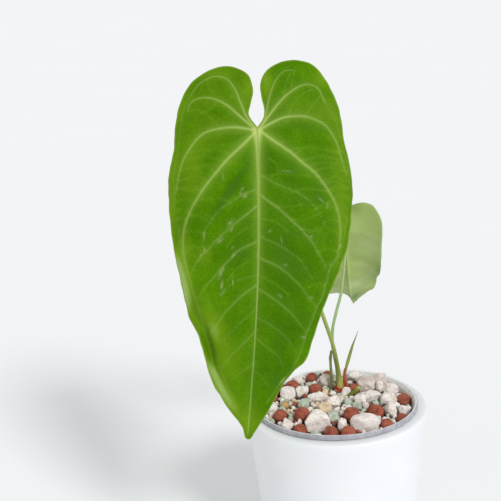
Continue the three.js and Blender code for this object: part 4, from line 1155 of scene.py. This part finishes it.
def cover_pot(material):
    wall = [(pot_radius(z), z) for z in np.linspace(10, 110, 18)]
    inside = [(pot_inner(z), z) for z in np.linspace(110, 12, 12)]
    ledge = POT_HEIGHT - RIM_DEPTH
    profile = [
        (0, 0.5), (POT_BASE_RADIUS - 8, 0.5), (POT_BASE_RADIUS - 6.6, 0), (POT_BASE_RADIUS - 2.4, 0),
        (POT_BASE_RADIUS - 0.6, 1.2), (pot_radius(4), 4), *wall, (POT_TOP_RADIUS - 0.2, POT_HEIGHT - 0.8),
        (POT_TOP_RADIUS - 3.4, POT_HEIGHT), (RIM_INNER_RADIUS, POT_HEIGHT), (RIM_INNER_RADIUS, ledge),
        (pot_inner(ledge - 3), ledge - 3), *inside, (pot_inner(POT_FLOOR + 3), POT_FLOOR + 3),
        (pot_inner(POT_FLOOR) - 3, POT_FLOOR), (0, POT_FLOOR),
    ]
    reaches = [0, 0.4, 0.4, 0.8, 1, 2] + [0] * len(wall) + [3.4, 2.0, 0.4, 0.5, 0.5]
    reaches += [0] * len(inside) + [2, 2, 0]
    return dress(turned("white_cover_pot", rounded(profile, reaches)), "cover_pot", "cover_pot", material)


def liner_outer(z):
    return lerp(LINER_BASE_RADIUS, LINER_TOP_RADIUS, z / POT_HEIGHT)


def liner_inner(z):
    return liner_outer(z) - LINER_WALL


def liner_pot(material):
    low, top = POT_HEIGHT + GAP, POT_HEIGHT + LIP_HEIGHT
    floor = LINER_FLOOR_Z + LINER_WALL
    outside = [(liner_outer(z), z) for z in np.linspace(32, 116, 12)]
    inside = [(liner_inner(z), z) for z in np.linspace(117, 34, 12)]
    profile = [
        (0, LINER_FLOOR_Z), (liner_outer(LINER_FLOOR_Z) - 2, LINER_FLOOR_Z), (liner_outer(26), 26), *outside,
        (liner_outer(low), low), (LIP_RADIUS - 0.5, low), (LIP_RADIUS, low + 0.6), (LIP_RADIUS, low + 1.5),
        (LIP_RADIUS - 0.2, low + 1.8), (LIP_RADIUS, low + 2.1), (LIP_RADIUS, top - 0.7),
        (LIP_RADIUS - 0.9, top), (liner_inner(top) + 0.9, top), (liner_inner(top), top - 0.7),
        (liner_inner(121.8), 121.8), (liner_inner(121.5) - LINER_STEP, 121.4),
        (liner_inner(119.4) - LINER_STEP, 119.4), (liner_inner(119), 119), *inside,
        (liner_inner(floor + 2), floor + 2), (liner_inner(floor) - 2, floor), (0, floor),
    ]
    lip_reaches = [0.3] * 3 + [0.2] * 3 + [0.5] * 4 + [0.2] * 4
    reaches = [0, 1, 1] + [0] * len(outside) + lip_reaches + [0] * len(inside) + [1, 1, 0]
    obj = turned("clear_liner_pot", rounded(profile, reaches))
    drills = []
    for angle in circle(DRAIN_COUNT):
        foot = around(angle, DRAIN_RING, z=LINER_FLOOR_Z - 3)
        path = foot + np.linspace(0, 1, 3)[:, None] * np.array([0, 0, 8])
        drills.append(tube(path, lambda t, turn: DRAIN_RADIUS + 0 * t, 32)[:2])
    drill = joined("drill", drills)
    weld(drill)
    cut = obj.modifiers.new("drain", "BOOLEAN")
    cut.object, cut.operation, cut.solver = drill, "DIFFERENCE", "EXACT"
    apply_modifiers(obj)
    bpy.data.objects.remove(drill)
    obj.data.set_sharp_from_angle(angle=math.radians(35))
    x, y, z = points_of(obj).T
    # Where the liner takes the grey painted shade of its lip: outside and on top of the lip
    lip_shade_share = smooth((np.hypot(x, y) - LINER_TOP_RADIUS - 0.2) / 0.8) * smooth((z - POT_HEIGHT + 0.5) / 0.6)
    set_attribute(obj, "lip", lip_shade_share)
    return dress(obj, "liner", "liner_pot", material)


# Stones

# Small stones stop after so many tries or once enough lie; the later ones are smaller
FINE_TRIES = 12000
FULL_SIZE_TRIES = 2600
LATE_SIZE = 0.72
FINE_COUNT = 760
FINE_DEPTH = 4.4
FILL_DEPTH = 5.6
BIG_STONE_SHARE = 0.97
# The rootstock's head: height of its middle, reach across and reach up
HEAD_TAKES = (118.6, 7.3, 2.8)
STEM_ROOM = ((BIG_PETIOLE, 3.2), (SMALL_PETIOLE, 1.8), (SPIKE, 2.0), (OLD_STUB, 1.4))
STEM_TAKES_UP = 20
CUT_STUB_ROOM = 1.9
# Round the big petiole's foot no small stone is shown
CROWN_AT = (6.8, 27.5)
CROWN_CLEAR = 6.3
# Fine gravel: name, share of the stones, edge sharpness, flatness, smallest and largest size in mm
FINE_KINDS = [
    ("pumice", 0.5, 12, 0.85, 4.6, 7.8),
    ("zeolite", 0.32, 16, 0.75, 4.6, 8.0),
    ("clay", 0.06, 12, 0.85, 4.0, 6.0),
    ("grit", 0.07, 12, 0.8, 3.4, 5.0),
    ("tan", 0.05, 9, 0.85, 4.0, 6.0),
]


def pore_depth(place, size, share, seed):
    """How deep a pore is at a place, from 0 to 1. share is the part of the cells that have one."""
    distances, centres = noise.voronoi(Vector(place) / size + Vector((seed, 0, seed)))
    if abs(noise.cell(centres[0] * 3.7)) > share:
        return 0.0
    edge = distances[0] / 0.42
    return max(0.0, 1 - edge * edge)


def lumps(place, *layers):
    """Noise in layers of (height, size) in mm."""
    return sum(height * noise.noise(place / size) for height, size in layers)


def shifted(place, seed):
    return Vector(place) + Vector((seed, seed * 2, 0))


def chips(place, size):
    """Ridges between flat-looking facets of about size mm."""
    distances = noise.voronoi(place / size)[0]
    return distances[1] - distances[0]


def clay_relief(place, seed):
    relief = lumps(shifted(place, seed), (0.28, 3.6), (0.12, 1.4), (0.05, 0.6))
    return relief - 0.35 * pore_depth(place, 2.6, 0.22, seed)


def pumice_relief(place, seed):
    v = shifted(place, seed)
    relief = 0.55 * chips(v, 6.6) + lumps(v, (0.32, 4.2), (0.22, 1.9), (0.12, 0.8))
    return relief - 0.35 * pore_depth(place, 1.9, 0.35, seed) - 0.16 * pore_depth(place, 1.0, 0.5, seed + 3)


def slab_relief(place, seed):
    v = shifted(place, seed)
    return lumps(v, (0.3, 6), (0.06, 0.8)) + 0.16 * noise.noise(Vector((v.x / 6, v.y / 2.4, v.z / 1.6)))


def rock_relief(place, seed):
    v = shifted(place, seed)
    return 0.8 * (0.9 * chips(v, 4.5) - 0.4) + lumps(v, (0.3, 2.2), (0.14, 0.9))


def chiselled(points, cuts, least, most, power, seed):
    """Points of a stone, squared up, with flat faces cut that keep from least to most of the reach."""
    source = np.random.default_rng(seed)
    middle, half = (points.min(0) + points.max(0)) / 2, np.ptp(points, axis=0) / 2
    shape = (points - middle) / half
    shape *= (np.linalg.norm(shape, axis=1) / (np.abs(shape) ** power).sum(1) ** (1 / power))[:, None]
    for normal in unit(source.normal(size=(cuts, 3))):
        along = shape @ normal
        beyond = np.maximum(along - along.max() * source.uniform(least, most), 0)
        shape = shape - 0.9 * beyond[:, None] * normal
    return middle + shape * half


def stone_piece(node, slot, relief, voxel, rounding, cuts, seed, material):
    """A stone in its CAD node's form, rounded and chipped, with its own surface, size and place."""
    obj = bpy.data.objects.new("stone_" + node, NODES[node].data.copy())
    obj.data.materials.clear()
    bpy.context.scene.collection.objects.link(obj)
    weld(obj, 0.01)
    remesh = obj.modifiers.new("even", "REMESH")
    remesh.mode, remesh.voxel_size = "VOXEL", voxel * MM
    soften = obj.modifiers.new("round", "SMOOTH")
    soften.factor, soften.iterations = 0.5, rounding
    apply_modifiers(obj)
    low, high = (np.array(corner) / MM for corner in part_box(node))
    points = chiselled(points_of(obj), *cuts, seed)
    points = low + (points - points.min(0)) / np.ptp(points, axis=0) * (high - low)
    set_points(obj, points)
    lift = np.array([relief(place, seed) for place in points])
    points = points + vertex_rows(obj, "normal") * (lift - lift.mean())[:, None]
    span = np.ptp(points, axis=0) / (high - low)
    points = (low + high) / 2 + (points - (points.min(0) + points.max(0)) / 2) / np.maximum(span, 1)
    set_points(obj, points)
    obj.data.shade_smooth()
    return dress(obj, slot, node, material)


def bed_height(x, y):
    radius = liner_inner(BED_EDGE_Z)
    share = math.hypot(x, y) / radius
    return BED_EDGE_Z + BED_CROWN * (1 - share * share) + BACK_RISE * (max(0, y) / radius) ** 2


def unit_ball(detail):
    bm = bmesh.new()
    bmesh.ops.create_icosphere(bm, subdivisions=detail, radius=1)
    points = np.array([v.co[:] for v in bm.verts])
    faces = [tuple(v.index for v in face.verts) for face in bm.faces]
    bm.free()
    return points, faces


BALL = unit_ball(3)


def chip_points(source, sharpness, flatness):
    """A broken stone about 1 across: a ball cut by random planes, with its edges worn."""
    planes = unit(source.normal(size=(14, 3)))
    depths = source.uniform(0.34, 0.52, len(planes))
    facing = np.maximum(BALL[0] @ planes.T, 0.001) / depths
    reach = np.minimum((facing**sharpness).sum(1) ** (-1 / sharpness), 0.62)
    points = BALL[0] * reach[:, None] * (1, source.uniform(0.75, 1), flatness)
    return points * (1 + 0.09 * wobble(points, 0.16, source.uniform(0, 9)))[:, None]


def taken_places():
    """What the small stones rest on: middle, reach across and reach up of the big stones and the stems."""
    taken = []
    for node in NODES:
        if node.startswith(("clay_ball", "pumice", "grey_stone", "beige_stone", "zeolite")):
            low, high = (np.array(corner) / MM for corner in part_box(node))
            centre, half = (low + high) / 2, (high - low) / 2
            taken.append([*centre, BIG_STONE_SHARE * (half[0] + half[1]) / 2, BIG_STONE_SHARE * half[2]])
    taken.append([*ROOT_AT, *HEAD_TAKES])
    for course, room in STEM_ROOM:
        taken.append([*course[0], room, STEM_TAKES_UP])
    for share in (0.0, 0.3, 0.6):
        taken.append([*lerp(np.array(CUT_STUB[0]), np.array(CUT_STUB[1]), share), *[CUT_STUB_ROOM] * 2])
    return np.array(taken)


def fine_gravel(materials):
    """Small stones dropped between the large ones: each comes to rest on the bed or on what it meets."""
    source = np.random.default_rng(11)
    taken = taken_places()
    found = {name: [] for name in materials}
    weights = np.array([kind[1] for kind in FINE_KINDS])
    weights /= weights.sum()
    edge = liner_inner(BED_EDGE_Z) - GAP
    count = 0
    for attempt in range(FINE_TRIES):
        name, _, sharpness, flatness, least, most = FINE_KINDS[source.choice(len(FINE_KINDS), p=weights)]
        size = source.uniform(least, most) * (1 if attempt < FULL_SIZE_TRIES else LATE_SIZE)
        radius = size * 0.44
        near_wall = edge - radius * source.uniform(1, 1.8)
        reach = near_wall if attempt % 4 == 0 else (edge - radius) * math.sqrt(source.uniform())
        angle = source.uniform(0, 2 * math.pi)
        x, y = reach * math.cos(angle), reach * math.sin(angle)
        apart, touch = np.hypot(taken[:, 0] - x, taken[:, 1] - y), taken[:, 3] + radius
        meets = apart < touch
        leaning = np.sqrt(1 - (apart[meets] / touch[meets]) ** 2)
        heights = taken[meets, 2] + (taken[meets, 4] + radius) * leaning
        z = max([bed_height(x, y) - FINE_DEPTH, *heights.tolist()])
        by_crown = bell(math.hypot(x - ROOT_AT[0], y - ROOT_AT[1]), 9)
        if z > bed_height(x, y) + 1.5 - 0.3 * radius + 2.6 * by_crown:
            continue
        taken = np.vstack([taken, [x, y, z, radius * 0.92, radius * 0.85]])
        turn = Matrix.Rotation(source.uniform(0, 6.28), 3, source.normal(size=3).tolist())
        shape = chip_points(source, sharpness, flatness) * size
        if math.hypot(x - CROWN_AT[0], y - CROWN_AT[1]) > CROWN_CLEAR:
            found[name].append((shape @ np.array(turn).T + (x, y, z), BALL[1]))
        count += 1
        if count >= FINE_COUNT:
            break
    for name, material in materials.items():
        dress(joined("fine_gravel_" + name, found[name]), "gravel", "gravel_bed", material)


def bed_fill(material):
    """The body of the gravel under the loose stones, a little lower than they are, lumpy on top."""
    rings = 40
    turn = circle(120)
    bottom = LINER_FLOOR_Z + LINER_WALL + GAP
    profile = [(0.01, bottom), (liner_inner(bottom) - GAP - 2.2, bottom)]
    profile += [(liner_inner(bottom + 2.2) - GAP, bottom + 2.2)]
    profile += [(liner_inner(z) - GAP, z) for z in np.linspace(40, 110, 8)]
    points = [around(turn, radius, z=z) for radius, z in profile]
    edge = liner_inner(112) - GAP
    for k in range(rings + 1):
        x, y, _ = around(turn, edge * (1 - (k / rings)) + 0.01).T
        hollow = smooth((9.5 - np.hypot(x - ROOT_AT[0], y - ROOT_AT[1])) / 3)
        ground = np.array([bed_height(*place) for place in zip(x, y)]) - FILL_DEPTH
        points.append(points_at(x, y, ground + 1.1 * wobble(points_at(x, y), 3.0, 6) - 2.5 * hollow))
    obj = mesh_object("bed_fill", np.vstack(points), grid_faces(len(points), len(turn), closed=True))
    weld(obj, 0.02)
    return dress(obj, "gravel", "gravel_bed", material)


# Assembly

LEAF_UPPER, LEAF_UNDER, LEAF_RIM = leaf_upper_material(), leaf_under_material(), leaf_rim_material()
BIG_FRAME = blade_frame((-51, -37.4, 348.2), (-70.1, -94.8, 140.8), (0, -0.964, 0.266), (1.05, 1.05, 1.05))
SMALL_FRAME = blade_frame(
    (19.7, 84.8, 239.8), (31.4, 145.1, 151.9), (0.014, 0.836, 0.543), (0.514, 0.521, 1.05)
)
leaf_blade("big_leaf_blade", "blade_big", BIG_BLADE, BIG_FRAME)
leaf_blade("small_leaf_blade", "blade_small", SMALL_BLADE, SMALL_FRAME)

petiole_skin = stem_material(
    "petiole", (118, 146, 58),
    (0.0, 198, 192, 118), (0.02, 178, 180, 94), (0.05, 140, 146, 72), (0.1, 126, 140, 62),
    (0.17, 156, 174, 90), (0.5, 152, 176, 88), (0.93, 134, 168, 66), (1.0, 160, 186, 96),
)
back_skin = stem_material(
    "petiole_back", (104, 136, 66),
    (0.0, 160, 164, 100), (0.08, 124, 150, 84), (0.4, 150, 176, 122), (1.0, 164, 186, 126),
)
spike_skin = stem_material(
    "new_leaf", (106, 136, 60),
    (0.0, 176, 96, 70), (0.3, 178, 132, 84), (0.42, 166, 174, 88), (0.6, 134, 158, 76), (1.0, 122, 150, 92),
)
old_skin = stem_material(
    "old_stub", (92, 112, 62),
    (0.0, 112, 122, 70), (0.5, 116, 136, 82), (0.85, 130, 148, 92), (1.0, 142, 154, 106),
)
cut_skin = stem_material(
    "cut_stub", (78, 90, 38),
    (0.0, 108, 116, 56), (0.5, 108, 118, 50), (0.8, 112, 126, 52), (0.93, 164, 170, 92), (1.0, 200, 202, 134),
)
cut_face = stem_material("cut_face", (158, 178, 100), (0.0, 196, 208, 134), (1.0, 196, 208, 134))
red_scale = cataphyll_material(
    "cataphyll", (132, 50, 34), (214, 142, 120),
    (0.0, 178, 66, 46), (0.4, 178, 84, 62), (0.75, 184, 106, 82), (1.0, 168, 122, 84),
)
collar_scale = cataphyll_material(
    "cataphyll_collar", (160, 128, 66), (206, 190, 118),
    (0.0, 204, 60, 42), (0.36, 212, 82, 56), (0.52, 196, 150, 80), (0.7, 182, 186, 96),
)

stem("big_petiole", "petiole", "petiole_big", BIG_PETIOLE, big_petiole_radius, 220, 28, petiole_skin)
stem("small_petiole", "petiole", "petiole_small", SMALL_PETIOLE, small_petiole_radius, 130, 20, back_skin)
stem("rolled_new_leaf", "petiole", "new_leaf_spike", SPIKE, spike_radius, 90, 24, spike_skin)
stem("dry_petiole_stub", "old_stub", "old_petiole_stub", OLD_STUB, old_stub_radius, 60, 24, old_skin)
cut_stub(cut_skin, cut_face)
collar_piece(collar_scale)
sheath_piece(red_scale)
rootstock_piece(root_material())
cover_pot(pot_material())
liner_pot(liner_material())

clay = clay_material("clay", (168, 92, 71), (126, 62, 48), (192, 128, 106))
ochre = clay_material("ochre_clay", (206, 162, 106), (170, 126, 78), (226, 194, 144))
pumice = pumice_material("pumice", (246, 238, 233), (226, 212, 203), (160, 138, 126))
beige = pumice_material("beige_stone", (230, 206, 174), (202, 174, 140), (150, 116, 84))
grey = pumice_material("grey_stone", (224, 212, 204), (190, 175, 166), (126, 110, 100))
zeolite = grainy_material(
    "zeolite", 0.25, 3.4, (0.7, 0.9), 0.35, (0.5, (206, 202, 178)),
    (0.3, 154, 168, 152), (0.5, 188, 198, 182), (0.72, 214, 220, 206),
)
dark_grit = grainy_material(
    "dark_grit", 0.2, 4, (0.8, 0.95), 0.4, (0, (124, 112, 98)),
    (0.3, 48, 44, 40), (0.5, 84, 78, 70), (0.7, 124, 112, 98),
)
# Start of the node's name, slot, relief, remesh step, rounding, number, least, most and power of its cuts
STONE_KINDS = [
    ("clay_ball_ochre", "ochre_clay", clay_relief, 0.45, 3, (2, 0.9, 0.95, 2), ochre),
    ("clay_ball", "clay", clay_relief, 0.5, 4, (4, 0.84, 0.95, 2), clay),
    ("pumice_02", "pumice", slab_relief, 0.5, 4, (6, 0.82, 0.93, 4.6), pumice),
    ("pumice_01", "pumice", pumice_relief, 0.5, 3, (7, 0.62, 0.8, 4.2), pumice),
    ("pumice", "pumice", pumice_relief, 0.5, 3, (11, 0.66, 0.86, 2.9), pumice),
    ("grey_stone", "grey_stone", rock_relief, 0.55, 2, (9, 0.68, 0.86, 2.5), grey),
    ("beige_stone", "beige_stone", pumice_relief, 0.5, 3, (7, 0.74, 0.88, 2.4), beige),
    ("zeolite", "zeolite", rock_relief, 0.45, 2, (8, 0.68, 0.84, 2.5), zeolite),
]
for number, node in enumerate(sorted(NODES)):
    for prefix, slot, relief, voxel, rounding, cuts, material in STONE_KINDS:
        if node.startswith(prefix):
            stone_piece(node, slot, relief, voxel, rounding, cuts, 5 * number, material)
            break

bed_fill(bed_material())
fine_gravel({"pumice": pumice, "zeolite": zeolite, "clay": clay, "grit": dark_grit, "tan": beige})


# Stage, light and camera

FLOOR_REACH = 60000
FLOOR_Z = -0.05
SUN_STRENGTH = 1.5
SUN_SPREAD = math.radians(14)
SUN_HEADING = Vector((-170, 280, -250))
ROOM_COLOUR = (0.98, 0.99, 1.0, 1)
ROOM_STRENGTH = 0.7
CAMERA_PLACE = (-0.0604, -0.728, 0.4515)
CAMERA_PITCH = math.radians(15.46)
CAMERA_ROLL = math.radians(-3.31)
CAMERA_PIXELS = 1000
IMAGE_PIXELS = 501
SENSOR_WIDTH = 36


def floor_material():
    s = Surface("floor", Specular_IOR_Level=0.0, Roughness=1.0)
    return s.done(s.mix(s.noise(900, 2), (244, 245, 246), (246, 247, 248)))


corners = [(x * FLOOR_REACH, y * FLOOR_REACH, FLOOR_Z) for x, y in ((-1, -1), (1, -1), (1, 1), (-1, 1))]
floor = mesh_object("floor", corners, [(0, 1, 2, 3)])
floor.data.materials.append(floor_material())

sun = bpy.data.objects.new("window_light", bpy.data.lights.new("window_light", "SUN"))
sun.data.energy = SUN_STRENGTH
sun.data.angle = SUN_SPREAD
sun.rotation_mode = "QUATERNION"
sun.rotation_quaternion = SUN_HEADING.to_track_quat("-Z", "Y")
bpy.context.scene.collection.objects.link(sun)

world = bpy.data.worlds.new("soft_room")
world.use_nodes = True
world.node_tree.nodes["Background"].inputs[0].default_value = ROOM_COLOUR
world.node_tree.nodes["Background"].inputs[1].default_value = ROOM_STRENGTH
bpy.context.scene.world = world
bpy.context.scene.view_settings.view_transform = "Standard"

ahead = Vector((0, math.cos(CAMERA_PITCH), -math.sin(CAMERA_PITCH)))
level_up = Vector((0, math.sin(CAMERA_PITCH), math.cos(CAMERA_PITCH)))
level_right = Vector((1, 0, 0))
right = level_right * math.cos(CAMERA_ROLL) + level_up * math.sin(CAMERA_ROLL)
up = level_up * math.cos(CAMERA_ROLL) - level_right * math.sin(CAMERA_ROLL)
camera = bpy.data.objects.new("camera", bpy.data.cameras.new("camera"))
camera.data.sensor_width = SENSOR_WIDTH
camera.data.lens = CAMERA_PIXELS / IMAGE_PIXELS * SENSOR_WIDTH
camera.data.clip_start, camera.data.clip_end = 0.01, 200
camera.matrix_world = Matrix.Translation(CAMERA_PLACE) @ Matrix((right, up, -ahead)).transposed().to_4x4()
bpy.context.scene.collection.objects.link(camera)
bpy.context.scene.camera = camera
